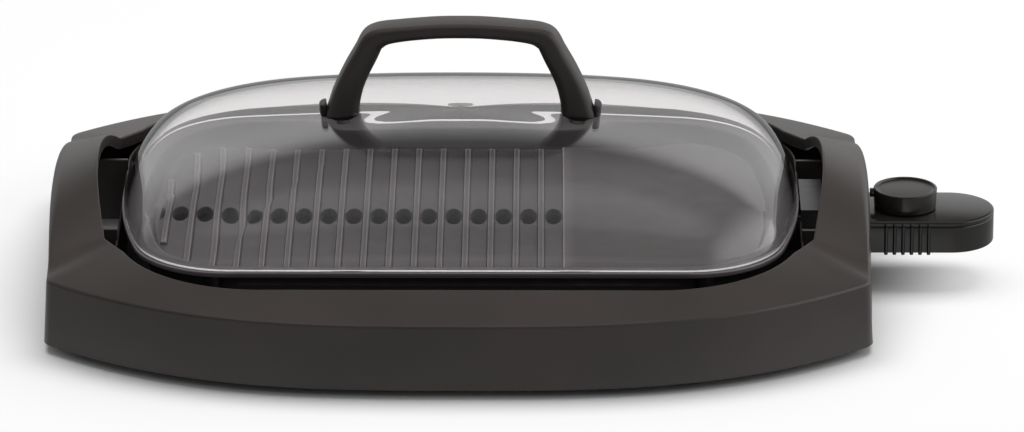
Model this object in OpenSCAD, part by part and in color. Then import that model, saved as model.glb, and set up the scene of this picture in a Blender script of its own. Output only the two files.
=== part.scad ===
// Electric indoor grill: a moulded base with two arched grips, a cast plate that is
// half ribbed and half flat, a domed glass lid with a bridge handle, and a plug-in
// thermostat controller. Millimetres, +Z up, seen from the front along +Y.
// The origin lies on the table under the middle of the whole grill.

/* [Base] */
// Distance from the well to the side of the base
grip_reach = 41; // [38:0.5:46]
// Distance from the well to the front and the back edge, at the middle
deck_w = 41.5; // [38:0.5:48]
// How far the front edge sweeps back from the middle to a corner
edge_sweep = 73; // [66:1:78]
// Exponent of that sweep
edge_power = 3; // [2.8:0.1:3.4]
// Radius of the upright corners
corner_r = 12; // [9:1:16]
// Gap between the apron and the table
table_gap = 5.5; // [4:0.5:5.5]
// Height of the upright apron
apron_h = 40.5; // [38:0.5:44]
// How far the foot of the apron stands out past its top
apron_draft = 2.4; // [1:0.2:2.6]
// Wall of the base moulding
wall = 3; // [2.6:0.2:3.4]
// Rounding of the edge round the apron
edge_r = 2; // [1:0.5:2.5]
// Rise of the deck from the apron to the well at the front
deck_rise = 8.5; // [6:0.5:11]
// Depth of the rolled lip inside the deck and the grips
lip_h = 8; // [6:0.5:10]

/* [Grips] */
// Half length of a grip along its outer edge
grip_outer_y = 103; // [98:1:108]
// Half length of a grip along its inner edge
grip_inner_y = 92.5; // [88:0.5:96]
// How far a grip bows out past the corners of the base
grip_bow = 3; // [1:0.5:4]
// Gap between the well and a grip's inner edge, at its crown
grip_gap = 15.5; // [13.5:0.5:18]
// How far that inner edge draws in towards its ends
grip_draw_in = 8.5; // [6:0.5:10]
// Rise of the outer edge's crown over the apron's edge
grip_outer_rise = 25; // [20:1:28]
// Rise of the inner edge's crown over the apron's edge
grip_inner_rise = 36.5; // [32:0.5:40]
// Rise of the outer end of the crease
crease_outer_rise = 5.7; // [4:0.1:8]
// Rise of the inner end of the crease
crease_inner_rise = 12.7; // [11:0.1:14]
// Rounding along the outer edge of a grip
grip_edge_r = 6; // [4:0.5:8]
// Distance of the cross ribs under a grip from its middle
grip_rib_y = 64; // [58:1:68]
// Thickness of those ribs
grip_rib_t = 3; // [2.4:0.2:4]

/* [Well] */
// Gap between the lid's rim and the well, front and back
well_gap = 30.3; // [28:0.1:34]
// Radius of the well's corners
well_r = 90; // [84:1:96]
// Rise of the well's wall over the apron's edge
well_wall_rise = 1.5; // [0:0.5:3]
// Thickness of the base's floor
floor_t = 2.5; // [2:0.25:3.5]
// Flange of the floor past the well, front and back
floor_flange = 14; // [13:0.5:16]
// Height of the tray guide on the floor
guide_h = 3; // [2:0.5:5]
// Diameter of the bosses that take the floor's screws
boss_d = 9; // [8:0.5:11]
// Thickness of the ribs behind the apron
rib_t = 2.4; // [2:0.2:3.2]

/* [Feet] */
// Height of a rubber foot
foot_h = 6; // [5.5:0.25:7.5]
// Diameter of a rubber foot
foot_d = 22; // [18:1:26]
// Distance of the feet from the sides of the well
foot_in_x = 44; // [40:1:50]
// Distance of the feet from the lid's rim, front and back
foot_in_y = 13.7; // [9.7:0.5:15.2]

/* [Plate] */
// Width of the lid's rim, which the plate's rim follows
rim_w = 420; // [414:1:422]
// Depth of the lid's rim
rim_d = 279.4; // [274:0.2:286]
// How far the rim's sides bow out
rim_bow = 11.8; // [10:0.2:13]
// Radius of the rim's corners
rim_r = 60; // [54:1:64]
// Angle by which the bowed sides have turned where they meet the corners
rim_side_a = 14; // [12:0.5:15]
// Ledge of the plate past the lid
plate_ledge = 1; // [0.5:0.5:2]
// Width of the plate's flange
flange_w = 11; // [10.5:0.5:12]
// Thickness of the plate's flange
flange_t = 3.5; // [3:0.25:5]
// Thickness of the plate under the cooking surface
plate_t = 5; // [4:0.25:6]
// Depth of the pan from the rim to the cooking surface
pan_depth = 13.5; // [12:0.5:16]
// Wall of the plate round the pan, at the cooking surface
pan_wall = 7; // [6:0.5:8]
// Width of the step round the top of the pan
pan_step = 3; // [2:0.5:5]
// Depth of that step
pan_step_h = 4; // [3:0.5:6]
// Number of drain slots in the row
slot_count = 17; // [13:1:17]
// Distance of the outermost drain slot from the lid's rim
slot_in = 18.4; // [18:0.2:24]
// Width of a drain slot
slot_w = 10.2; // [8:0.2:10.6]
// Length of a drain slot
slot_l = 28; // [20:1:32]
// Place of the drain slot nearest the flat half
slot_last_x = 58; // [54:1:60]
// How far the ribs stop short of the pan's wall
rib_gap = 6; // [5:0.5:10]
// Height of the ribs and of the flat half over the grooves
rib_h = 3; // [2:0.25:4]
// Width of a rib at its top
rib_top_w = 3.4; // [2.6:0.2:4]
// Width of a rib at its foot
rib_foot_w = 5; // [4.4:0.2:5.2]

/* [Drip tray] */
// How far the drip tray stays inside the lid's rim, left and right
tray_in_x = 32; // [31:0.5:40]
// How far it stays inside the lid's rim, front and back
tray_in_y = 24.7; // [24.7:0.5:30]
// Height of the drip tray
tray_h = 18; // [14:0.5:22]
// Corner radius of the drip tray
tray_r = 30; // [24:1:36]
// Wall of the drip tray
tray_t = 1.5; // [1.25:0.25:2]
// Flange of the drip tray
tray_flange = 4; // [3:0.5:5]

/* [Heating element] */
// Diameter of the sheathed element
element_d = 7; // [6.5:0.25:8]
// Air between the drip tray and the element
tray_gap = 2; // [1.5:0.25:4]
// Bend radius of the element's corners
element_bend_r = 14; // [12:0.5:16]
// Distance of the outer runs from the lid's rim, front and back
outer_run_in = 39.7; // [38:0.5:44]
// Distance between an outer run and an inner one
run_pitch = 55; // [52:1:58]
// Distance of the element's left end from the lid's rim
run_left_in = 60; // [56:1:70]
// Distance of its right end from the lid's rim
run_right_in = 70; // [68:1:76]
// How far the inner runs stop short of the right end
run_cross_in = 50; // [44:1:58]
// Distance between the two terminals
pin_pitch = 32; // [30:1:34]
// Diameter of a terminal pin
pin_d = 5; // [4:0.5:5.5]
// Length of a terminal pin
pin_l = 24; // [22:0.5:26]

/* [Lid] */
// Height of the glass dome over its rim line
dome_h = 56; // [52:1:59]
// Exponent of the dome's section from left to right
dome_nx = 2; // [1.9:0.05:2.3]
// Exponent of the dome's section from front to back, which is fuller
dome_ny = 2.5; // [2.1:0.05:2.7]
// Squareness of the dome's plan near its crown
crown_p = 3.8; // [3.5:0.1:4.5]
// How quickly the rim's outline fades on the way up
rim_reach = 6; // [5:0.5:12]
// Thickness of the glass
glass_t = 4; // [3.5:0.25:5]
// Height of the upright edge of the glass
glass_edge_h = 1.7; // [1.2:0.1:2.5]

/* [Lid handle] */
// Height of the handle's top over the dome's crown
handle_rise = 57; // [54:1:60]
// Thickness of the handle's bar in its middle
bar_t = 9; // [8:0.5:11]
// Depth of the handle, front to back
bar_d = 23; // [20:0.5:25]
// Distance of a leg's middle from the handle's middle
leg_x = 73; // [70:1:76]
// Width of a leg at its foot
leg_w = 21; // [19:0.5:23]
// Rounding of the handle's long edges
bar_r = 3; // [2:0.25:3.5]
// Thickness of the pads under the legs
pad_t = 1.2; // [1:0.1:2]
// How far a pad's toe stands out past its leg
toe_out = 4; // [3:0.25:5]
// Height of a pad's toe
toe_h = 8; // [6:0.5:10]
// Diameter of the lid's screws
lid_screw_d = 5; // [4:0.5:5]

/* [Controller] */
// How far the controller stands out of the base
ctrl_out = 82; // [77:1:87]
// Width of the controller
ctrl_w = 56; // [54:1:58]
// Height of the controller
ctrl_h = 20.7; // [20.5:0.1:23]
// Height of the controller's cover over the parting line
cover_h = 3; // [2.5:0.25:4]
// Wall of the controller's cases
case_t = 2; // [1.6:0.1:2.4]
// Height of the sockets over the controller's underside
socket_z = 6.3; // [6.2:0.1:7]
// Width of the controller's nose
nose_w = 48; // [46:1:50]
// Length of the controller's nose
nose_l = 28; // [26:1:30]
// How far the controller reaches into the base
ctrl_in = 39; // [37:0.5:39]
// Clearance round the controller in its slot
ctrl_clear = 1.2; // [0.8:0.1:1.6]
// Number of finger ridges on each side
ridge_count = 6; // [4:1:6]
// Distance from one finger ridge to the next
ridge_pitch = 5.3; // [4.8:0.1:5.6]
// Radius of a finger ridge
ridge_r = 1.2; // [0.8:0.1:1.5]
// Diameter of the temperature probe
probe_d = 6; // [5:0.25:6]
// Length of the probe in front of the nose
probe_l = 58; // [50:1:60]
// Clearance round the probe in the plate, on the radius
probe_clear = 0.4; // [0.3:0.05:0.8]

/* [Knob] */
// Distance of the knob's axis from the side of the base
knob_out = 26.5; // [26:0.5:29]
// Diameter of the knob at its foot
knob_d = 38.6; // [36:0.2:40]
// Diameter of the knob at its top
knob_top_d = 39.6; // [37:0.2:41]
// Height of the knob
knob_h = 12.5; // [11:0.5:15]
// Depth of the dished top inside the knob's rim
knob_dish = 1.2; // [0.8:0.1:1.6]
// How far the knob's pointer stands out
pointer_l = 4; // [3:0.25:5]
// Width of the pointer
pointer_w = 4; // [3:0.25:5]
// Height of the pointer
pointer_h = 5; // [4:0.5:8]
// Gap between the knob and the controller
knob_gap = 0.5; // [0.4:0.1:1]
// Diameter of the knob's shaft
shaft_d = 6; // [5:0.25:7]
// Running clearance round the shaft, on the radius
shaft_fit = 0.05; // [0.03:0.01:0.08]

/* [Hidden] */

$fn = 48;
eps = 0.01; // overlap that joins two shapes of one piece

// Colours, as the photograph shows them
body_colour = "#3a3634";
plate_colour = "#4b4a4b";
steel_colour = "#a9abad";
glass_colour = "#b9bec4";
ceramic_colour = "#d9d2c4";
rubber_colour = "#262626";
case_colour = "#242322";

// Heights over the table
edge_z = table_gap + apron_h;
deck_z = edge_z + deck_rise;
floor_z = foot_h + floor_t;
plate_z = floor_z + tray_h + tray_gap + element_d;
cook_z = plate_z + plate_t;
rim_z = cook_z + pan_depth;
pin_z = plate_z - element_d / 2;
ctrl_z = pin_z - socket_z;
ctrl_top_z = ctrl_z + ctrl_h;
part_z = ctrl_top_z - cover_h;

// The well follows the lid's rim, and the base follows the well
well_w = rim_w;
well_d = rim_d + 2 * well_gap;
base_d = well_d + 2 * deck_w;
foot_x = well_w / 2 - foot_in_x;
foot_y = rim_d / 2 - foot_in_y;
tray_w = rim_w - 2 * tray_in_x;
tray_d = rim_d - 2 * tray_in_y;

// Places along X, from the middle of the base
side_x = well_w / 2 + grip_reach;
ctrl_end_x = side_x + ctrl_out;
nose_x = side_x - ctrl_in;
body_x = nose_x + nose_l;
knob_x = side_x + knob_out;
origin_x = (ctrl_end_x - side_x - grip_bow - apron_draft) / 2; // middle of the whole grill

module framed() {
    translate([-origin_x, 0, 0]) children();
}

// ---------- skins through rings of points ----------

// Closed skin through rings of equal length, each counter-clockwise seen from where the
// rings lead. A loop joins the last ring to the first, and an open skin gets two end faces.
module skin(rings, loop = false) {
    n = len(rings[0]);
    m = len(rings);
    last = loop ? m - 1 : m - 2;
    sides = [for (k = [0:last]) for (i = [0:n - 1])
        let (a = k * n + i, b = k * n + (i + 1) % n,
             d = ((k + 1) % m) * n + i, c = ((k + 1) % m) * n + (i + 1) % n)
        each [[a, d, c], [a, c, b]]];
    caps = loop ? [] : [[for (i = [0:n - 1]) i], [for (i = [n - 1:-1:0]) (m - 1) * n + i]];
    polyhedron([for (r = rings) each r], concat(sides, caps), convexity = 8);
}

function mix(a, b, t) = a + (b - a) * t;
function unit(v) = v / norm(v);

// One quarter of the lid's rim: bowed side, round corner and straight front
rim_cy = rim_d / 2 - rim_r;
rim_start = [rim_w / 2 - rim_bow, rim_cy + rim_r * sin(rim_side_a)];
rim_flat = rim_start[0] - rim_r * cos(rim_side_a); // half length of the straight front
rim_bow_n = tan(rim_side_a) * rim_start[1] / rim_bow; // meets the corner without a kink
rim_quarter = concat(
    [for (k = [0:4]) [rim_w / 2 - rim_bow * pow(k / 5, rim_bow_n), rim_start[1] * k / 5]],
    [for (k = [0:8]) let (a = mix(rim_side_a, 90, k / 8)) [rim_flat + rim_r * cos(a), rim_cy + rim_r * sin(a)]],
    [for (k = [1:2]) [rim_flat * (1 - k / 3), rim_d / 2]]
);
rim_steps = len(rim_quarter);
rim_line = concat(
    rim_quarter,
    [[0, rim_d / 2]],
    [for (i = [rim_steps - 1:-1:1]) [-rim_quarter[i][0], rim_quarter[i][1]]],
    [for (i = [0:rim_steps - 1]) -rim_quarter[i]],
    [[0, -rim_d / 2]],
    [for (i = [rim_steps - 1:-1:1]) [rim_quarter[i][0], -rim_quarter[i][1]]]
);

// The rim's outline, drawn in by inset on every side
function rim_form(inset) = [for (p = rim_line)
    [p[0] * (1 - 2 * inset / rim_w), p[1] * (1 - 2 * inset / rim_d)]];
// Half depth of that outline at x
function rim_y(x, inset) = let (u = abs(x) / (1 - 2 * inset / rim_w))
    (1 - 2 * inset / rim_d) * (u < rim_start[0]
        ? rim_cy + sqrt(pow(rim_r, 2) - pow(max(0, u - rim_flat), 2))
        : rim_start[1] * pow((rim_w / 2 - u) / rim_bow, 1 / rim_bow_n));
function at_z(points, z) = [for (p = points) [p[0], p[1], z]];

module rounded_rect(w, d, r) {
    square([w, d - 2 * r], center = true);
    square([w - 2 * r, d], center = true);
    for (x = [-1, 1]) for (y = [-1, 1])
        translate([x * (w / 2 - r), y * (d / 2 - r)]) circle(r, $fn = 96);
}

module at_corners(x, y) {
    for (i = [-1, 1]) for (j = [-1, 1]) translate([i * x, j * y, 0]) children();
}

// A straight rod from one point to another at the same height, along X or Y
module rod(from, to, d) {
    v = to - from;
    translate(from) rotate([0, 90, atan2(v[1], v[0])]) cylinder(d = d, h = norm(v));
}

// A quarter or half turn of a rod about a centre
module turn(centre, r, start, sweep, d) {
    translate(centre) rotate([0, 0, start])
        rotate_extrude(angle = sweep) translate([r, 0]) circle(d = d);
}

// ---------- base: outline, deck and grips ----------

// The front edge is a power curve, which the corner's arc meets without a kink
corner_a = atan(side_x / (edge_power * edge_sweep));
sweep_x = side_x - corner_r * (1 - cos(corner_a));
function edge_y(x) = base_d / 2 - edge_sweep * pow(abs(x) / sweep_x, edge_power);
corner_y = edge_y(sweep_x) - corner_r * sin(corner_a);
function corner_point(a) = [side_x - corner_r + corner_r * cos(a), corner_y + corner_r * sin(a)];

// Centre of the well's corner, and the angle at which the deck's edge leaves it for the grip
well_cx = well_w / 2 - well_r;
well_cy = well_d / 2 - well_r;
leave_a = 21;
function well_y(x) = well_cy + sqrt(pow(well_r, 2) - pow(max(0, abs(x) - well_cx), 2));
function well_point(a) = [well_cx + well_r * cos(a), well_cy + well_r * sin(a)];
grip_inner_x = well_w / 2 + grip_gap;
crease_in = [grip_inner_x - grip_draw_in, grip_inner_y];

grip_steps = 8;
side_steps = 3;
arc_steps = 4;
crease_steps = side_steps + arc_steps;
bend_steps = 9;
front_steps = 4;
front_outer_x = rim_flat;
// The deck's inner edge falls from the crease to the front, a share of it beside the corner
crease_share = 0.2;
function deck_in_z(k) = deck_z + (crease_inner_rise - deck_rise) * pow(1 - k, 2);

// One quarter of the deck: [outer point, inner point, outer height, inner height, edge radius]
quarter = concat(
    [for (i = [0:grip_steps]) let (k = i / grip_steps)
        [[side_x + grip_bow * (1 - k * k), grip_outer_y * k],
         [grip_inner_x - grip_draw_in * k * k, grip_inner_y * k],
         edge_z + mix(grip_outer_rise, crease_outer_rise, k * k),
         edge_z + mix(grip_inner_rise, crease_inner_rise, k * k),
         mix(grip_edge_r, edge_r, k * k)]],
    [for (i = [1:crease_steps]) let (k = i / crease_steps, t = min(1, i / side_steps))
        [t < 1 ? [side_x, mix(grip_outer_y, corner_y, t)] : corner_point(corner_a * (i - side_steps) / arc_steps),
         mix(crease_in, well_point(leave_a), k),
         edge_z + crease_outer_rise * pow(1 - t, 2),
         deck_in_z(crease_share * k),
         edge_r]],
    [for (i = [1:bend_steps]) let (k = i / bend_steps, x = mix(sweep_x, front_outer_x, k))
        [[x, edge_y(x)], well_point(mix(leave_a, 90, k)), edge_z, deck_in_z(mix(crease_share, 1, k)), edge_r]],
    [for (i = [1:front_steps]) let (k = i / front_steps, x = front_outer_x * (1 - k))
        [[x, edge_y(x)], [well_cx * (1 - k), well_d / 2], edge_z, deck_z, edge_r]]
);

// The same station in each quarter, all the way round
function flip(s, fx, fy) = [[s[0][0] * fx, s[0][1] * fy], [s[1][0] * fx, s[1][1] * fy], s[2], s[3], s[4]];
q_last = len(quarter) - 1;
stations = concat(
    quarter,
    [for (i = [q_last - 1:-1:0]) flip(quarter[i], -1, 1)],
    [for (i = [1:q_last]) flip(quarter[i], -1, -1)],
    [for (i = [q_last - 1:-1:1]) flip(quarter[i], 1, -1)]
);

// Section of the moulding at a station: apron, rounded edge, deck, rolled lip and inside
function section(s) =
    let (o = s[0], i = s[1], n = unit(i - o), r = s[4], zo = s[2], zi = s[3],
         slope = (zi - zo) / norm(i - o), in_r = 1.2,
         at = function (base, d, z) [base[0] + n[0] * d, base[1] + n[1] * d, z])
    [
        at(o, wall - apron_draft, table_gap),
        at(o, wall, zo - wall - r),
        at(o, wall + r * 0.4, zo - wall + slope * wall),
        at(i, -wall, zi - wall - slope * wall),
        at(i, -wall, zi - lip_h),
        at(i, 0, zi - lip_h),
        at(i, 0, zi - in_r),
        at(i, -in_r, zi - slope * in_r),
        at(o, r, zo + slope * r),
        at(o, r * 0.29, zo - r * 0.29 + slope * r * 0.2),
        at(o, 0, zo - r),
        at(o, -apron_draft, table_gap)
    ];

wall_in = 0.6; // the well's wall stands inside the thickness of the deck's lip
well_wall_t = 1.5;
well_wall_top = edge_z + well_wall_rise;
boss_y = well_d / 2 + wall_in + well_wall_t + boss_d / 2 - 1;
rib_pitch = 0.6 * well_cx;
boss_xs = [for (i = [-1.5:1.5]) i * rib_pitch];
screw_pilot_d = 3;
screw_pilot_h = 16;
stiffener_xs = [for (i = [-2:2]) i * rib_pitch];
grip_rib_z = edge_z + 8.3;
grip_rib_l = side_x + grip_bow / 2 - well_w / 2 - wall_in;

module well_form(grow) {
    rounded_rect(well_w + 2 * grow, well_d + 2 * grow, well_r + grow);
}

module base_housing() {
    color(body_colour) framed() difference() {
        union() {
            skin([for (s = stations) section(s)], loop = true);
            // wall of the well
            translate([0, 0, floor_z]) linear_extrude(well_wall_top - floor_z) difference() {
                well_form(wall_in + well_wall_t);
                well_form(wall_in);
            }
            // ribs that tie the grips to the well
            for (s = [-1, 1]) for (y = [-1, 1])
                translate([s * (well_w / 2 + wall_in + grip_rib_l / 2),
                           y * grip_rib_y, (floor_z + 6 + grip_rib_z) / 2])
                    cube([grip_rib_l, grip_rib_t, grip_rib_z - floor_z - 6], center = true);
            // stiffeners between the well and the apron
            for (s = [-1, 1]) for (x = stiffener_xs)
                translate([x - rib_t / 2, s > 0 ? well_y(x) + 1.5 : -edge_y(x) + wall / 4, floor_z + 4])
                    cube([rib_t, edge_y(x) - wall / 4 - well_y(x) - 1.5, edge_z - floor_z - 4 - wall]);
            // bosses for the floor's screws
            for (x = boss_xs) for (s = [-1, 1])
                translate([x, s * boss_y, floor_z]) cylinder(d = boss_d, h = edge_z - floor_z - wall - 1);
        }
        for (x = boss_xs) for (s = [-1, 1])
            translate([x, s * boss_y, floor_z - 1]) cylinder(d = screw_pilot_d, h = screw_pilot_h + 1);
        // slot for the controller through the side of the base
        translate([side_x - 10, -ctrl_w / 2 - ctrl_clear, ctrl_z - ctrl_clear])
            cube([20, ctrl_w + 2 * ctrl_clear, ctrl_h + 2 * ctrl_clear]);
        // notch in the well's wall for the shroud over the terminals
        translate([well_w / 2 - 5, -shroud_w / 2 - ctrl_clear, ctrl_z - ctrl_clear - 1])
            cube([12, shroud_w + 2 * ctrl_clear, 60]);
    }
}

// ---------- base: floor, feet and tray ----------

body_inset = flange_w - plate_ledge; // from the lid's rim to the wall of the plate's body
post_d = 10;
post_x = rim_flat + 10;
// halfway between the wall of the plate's body and the edge of its flange
post_y = (rim_y(post_x, body_inset) + rim_y(post_x, -plate_ledge)) / 2;
floor_screw_l = 12;

module base_floor() {
    color(body_colour) framed() difference() {
        union() {
            translate([0, 0, foot_h]) linear_extrude(floor_t)
                rounded_rect(well_w + 2 * (wall_in + well_wall_t), well_d + 2 * floor_flange,
                             well_r + 10);
            // guide round the drip tray
            translate([0, 0, foot_h]) linear_extrude(floor_t + guide_h) difference() {
                rounded_rect(tray_w + 4, tray_d + 4, tray_r + 2);
                rounded_rect(tray_w + 1, tray_d + 1, tray_r + 0.5);
            }
            at_corners(foot_x, foot_y) translate([0, 0, foot_h]) cylinder(d = boss_d, h = floor_t + 5);
        }
        for (x = boss_xs) for (s = [-1, 1]) translate([x, s * boss_y, foot_h - 1]) cylinder(d = 3.6, h = 10);
        at_corners(foot_x, foot_y) translate([0, 0, foot_h - 1]) cylinder(d = screw_pilot_d, h = floor_t + 5);
        at_corners(post_x, post_y) translate([0, 0, foot_h - 1]) cylinder(d = 3.6, h = 10);
    }
}

// A pan-head screw pointing up, its head below the height given
module screw(z, d, l, head_d, head_h) {
    translate([0, 0, z - head_h]) cylinder(d = head_d, h = head_h);
    translate([0, 0, z - eps]) cylinder(d = d, h = l);
}

module floor_screws() {
    color(steel_colour) framed() for (x = boss_xs) for (s = [-1, 1])
        translate([x, s * boss_y, 0]) screw(foot_h, screw_pilot_d, floor_t + floor_screw_l, 6, 2);
}

foot_recess_h = 3;
module foot(i, j) {
    color(rubber_colour) framed() translate([i * foot_x, j * foot_y, 0]) difference() {
        rotate_extrude() polygon([
            [0, 0], [foot_d / 2 - 1.5, 0], [foot_d / 2, 1.5], [foot_d / 2 - 0.6, foot_h], [0, foot_h]]);
        translate([0, 0, -1]) cylinder(d = 8, h = foot_recess_h + 1);
        translate([0, 0, -1]) cylinder(d = 3.6, h = foot_h + 2);
    }
}
module foot_front_left() { foot(-1, -1); }
module foot_front_right() { foot(1, -1); }
module foot_rear_left() { foot(-1, 1); }
module foot_rear_right() { foot(1, 1); }

module foot_screws() {
    color(steel_colour) framed() at_corners(foot_x, foot_y)
        screw(foot_recess_h, screw_pilot_d, foot_h - foot_recess_h + floor_t + 3, 6.5, 2);
}

module drip_tray() {
    color(rubber_colour) framed() difference() {
        union() {
            translate([0, 0, floor_z]) linear_extrude(tray_h) rounded_rect(tray_w, tray_d, tray_r);
            translate([0, 0, floor_z + tray_h - tray_t]) linear_extrude(tray_t)
                rounded_rect(tray_w + 2 * tray_flange, tray_d + 2 * tray_flange, tray_r + tray_flange);
        }
        translate([0, 0, floor_z + tray_t]) linear_extrude(tray_h)
            rounded_rect(tray_w - 2 * tray_t, tray_d - 2 * tray_t, tray_r - tray_t);
    }
}

flange_z = rim_z - flange_t;
module plate_supports() {
    color("#1d1d1d") framed() at_corners(post_x, post_y) difference() {
        union() {
            translate([0, 0, floor_z]) cylinder(d = post_d + 2, h = 4);
            translate([0, 0, floor_z]) cylinder(d = post_d, h = flange_z - floor_z);
        }
        translate([0, 0, floor_z - 1]) cylinder(d = screw_pilot_d, h = 14);
    }
}

module support_screws() {
    color(steel_colour) framed() at_corners(post_x, post_y) screw(foot_h, screw_pilot_d, floor_t + 10, 6, 2);
}

// ---------- plate ----------

pan_inset = body_inset + pan_wall;
probe_boss_w = 16;
plate_end_x = rim_w / 2 - body_inset;
probe_bore_x = nose_x - probe_l - 2;
probe_boss_x = probe_bore_x - 3;
shroud_w = nose_w + 2 * 4.5;
shroud_t = 1.3;
tab_l = 16;
shroud_screw_x = plate_end_x - 9;
tab_w = 7.4;
shroud_screw_y = shroud_w / 2 - shroud_t - tab_w / 2;

slot_pitch = (slot_last_x + rim_w / 2 - slot_in) / (slot_count - 1);
// Round-ended slot, one drain
slot_line = [for (e = [1, -1]) for (a = [0:15:180])
    [e * slot_w / 2 * cos(a), e * (slot_l / 2 - slot_w / 2 + slot_w / 2 * sin(a))]];
flat_x = slot_last_x + 6;

module grill_plate() {
    color(plate_colour) framed() difference() {
        union() {
            translate([0, 0, plate_z]) linear_extrude(flange_z - plate_z + eps) polygon(rim_form(body_inset));
            translate([0, 0, flange_z]) linear_extrude(flange_t) polygon(rim_form(-plate_ledge));
            // boss that takes the temperature probe
            translate([probe_boss_x, -probe_boss_w / 2, pin_z - probe_d / 2 - 2])
                cube([plate_end_x - probe_boss_x - 1, probe_boss_w, plate_z - pin_z + probe_d / 2 + 3]);
        }
        // the pan, deepest in the grooves between the ribs
        difference() {
            union() {
                translate([0, 0, cook_z]) linear_extrude(pan_depth + 1) polygon(rim_form(pan_inset));
                translate([0, 0, rim_z - pan_step_h]) linear_extrude(pan_step_h + 1)
                    polygon(rim_form(pan_inset - pan_step));
            }
            for (i = [0:slot_count - 2]) plate_rib(slot_last_x - slot_pitch * (i + 0.5));
            // the flat half stands as high as the ribs
            intersection() {
                translate([0, 0, cook_z - 1]) linear_extrude(rib_h + 1) polygon(rim_form(pan_inset + 2));
                translate([flat_x, -rim_d, cook_z - 1]) cube([rim_w, 2 * rim_d, rib_h + 2]);
            }
        }
        for (i = [0:slot_count - 1]) translate([slot_last_x - slot_pitch * i, 0, plate_z - 1])
            linear_extrude(plate_t + 2) polygon(slot_line);
        translate([probe_bore_x, 0, pin_z]) rotate([0, 90, 0])
            cylinder(d = probe_d + 2 * probe_clear, h = plate_end_x - probe_bore_x + 1);
        for (s = [-1, 1]) translate([shroud_screw_x, s * shroud_screw_y, plate_z - 1]) cylinder(d = 3, h = 4.5);
    }
}

// One searing rib, a trapezium that runs front to back
module plate_rib(x) {
    half = rim_y(x, pan_inset + rib_gap);
    translate([x, half, cook_z]) rotate([90, 0, 0]) linear_extrude(2 * half) polygon([
        [-rib_foot_w / 2, -1], [rib_foot_w / 2, -1], [rib_foot_w / 2, 0],
        [rib_top_w / 2, rib_h], [-rib_top_w / 2, rib_h], [-rib_foot_w / 2, 0]]);
}

// ---------- heating element ----------

outer_run_y = rim_d / 2 - outer_run_in;
inner_run_y = outer_run_y - run_pitch;
run_left_x = run_left_in - rim_w / 2;
run_right_x = rim_w / 2 - run_right_in;
run_cross_x = run_right_x - run_cross_in;
clamp_x = -0.64 * run_left_x;

module element_half() {
    y0 = pin_pitch / 2;
    r = element_bend_r;
    u = (outer_run_y - inner_run_y) / 2;
    z = pin_z;
    rod([plate_end_x + 3, y0, z], [run_right_x + r, y0, z], element_d);
    turn([run_right_x + r, y0 + r, z], r, 180, 90, element_d);
    rod([run_right_x, y0 + r, z], [run_right_x, outer_run_y - r, z], element_d);
    turn([run_right_x - r, outer_run_y - r, z], r, 0, 90, element_d);
    rod([run_right_x - r, outer_run_y, z], [run_left_x, outer_run_y, z], element_d);
    turn([run_left_x, inner_run_y + u, z], u, 90, 180, element_d);
    rod([run_left_x, inner_run_y, z], [run_cross_x - r, inner_run_y, z], element_d);
    turn([run_cross_x - r, inner_run_y - r, z], r, 0, 90, element_d);
    rod([run_cross_x, inner_run_y - r, z], [run_cross_x, 0, z], element_d);
}

module heating_element() {
    color("#8b8d8f") framed() {
        element_half();
        mirror([0, 1, 0]) element_half();
    }
}

// Clamps sit over straight runs, [x, y]
clamp_places = [for (s = [-1, 1])
    each [[clamp_x, s * outer_run_y], [-clamp_x, s * outer_run_y], [0, s * inner_run_y]]];
clamp_w = 10;
clamp_t = 1.5;
clamp_l = 28;
clamp_screw_y = 9.5;

module element_clamps() {
    color(steel_colour) framed() for (p = clamp_places) translate([p[0], p[1], 0]) difference() {
        union() {
            translate([-clamp_w / 2, -clamp_l / 2, plate_z - clamp_t]) cube([clamp_w, clamp_l, clamp_t]);
            translate([-clamp_w / 2, -element_d / 2 - clamp_t, pin_z])
                cube([clamp_w, element_d + 2 * clamp_t, element_d / 2]);
            translate([-clamp_w / 2, 0, pin_z]) rotate([0, 90, 0]) cylinder(d = element_d + 2 * clamp_t, h = clamp_w);
        }
        translate([-clamp_w, -element_d / 2 - 0.1, pin_z]) cube([2 * clamp_w, element_d + 0.2, element_d]);
        translate([-clamp_w, 0, pin_z]) rotate([0, 90, 0]) cylinder(d = element_d + 0.2, h = 2 * clamp_w);
        for (s = [-1, 1]) translate([0, s * clamp_screw_y, plate_z - 2 * clamp_t]) cylinder(d = 3.4, h = 3 * clamp_t);
    }
}

module clamp_screws() {
    color(steel_colour) framed() for (p = clamp_places) for (s = [-1, 1])
        translate([p[0], p[1] + s * clamp_screw_y, plate_z - clamp_t - 2]) {
            cylinder(d = 5.5, h = 2);
            cylinder(d = 3, h = 2 + clamp_t);
        }
}

bead_l = 4;
bead_d = 8.4;
pin_x = plate_end_x + 3;
module terminal_pins() {
    color("#c9cacb") framed() for (s = [-1, 1]) translate([pin_x, s * pin_pitch / 2, pin_z]) rotate([0, 90, 0]) {
        cylinder(d = pin_d, h = pin_l - 1);
        translate([0, 0, pin_l - 1]) cylinder(d1 = pin_d, d2 = pin_d - 2, h = 1);
    }
}

module pin_insulators() {
    color(ceramic_colour) framed() for (s = [-1, 1]) translate([pin_x, s * pin_pitch / 2, pin_z])
        rotate([0, 90, 0]) difference() {
            cylinder(d = bead_d, h = bead_l);
            translate([0, 0, -1]) cylinder(d = pin_d + 0.1, h = bead_l + 2);
        }
}

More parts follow.
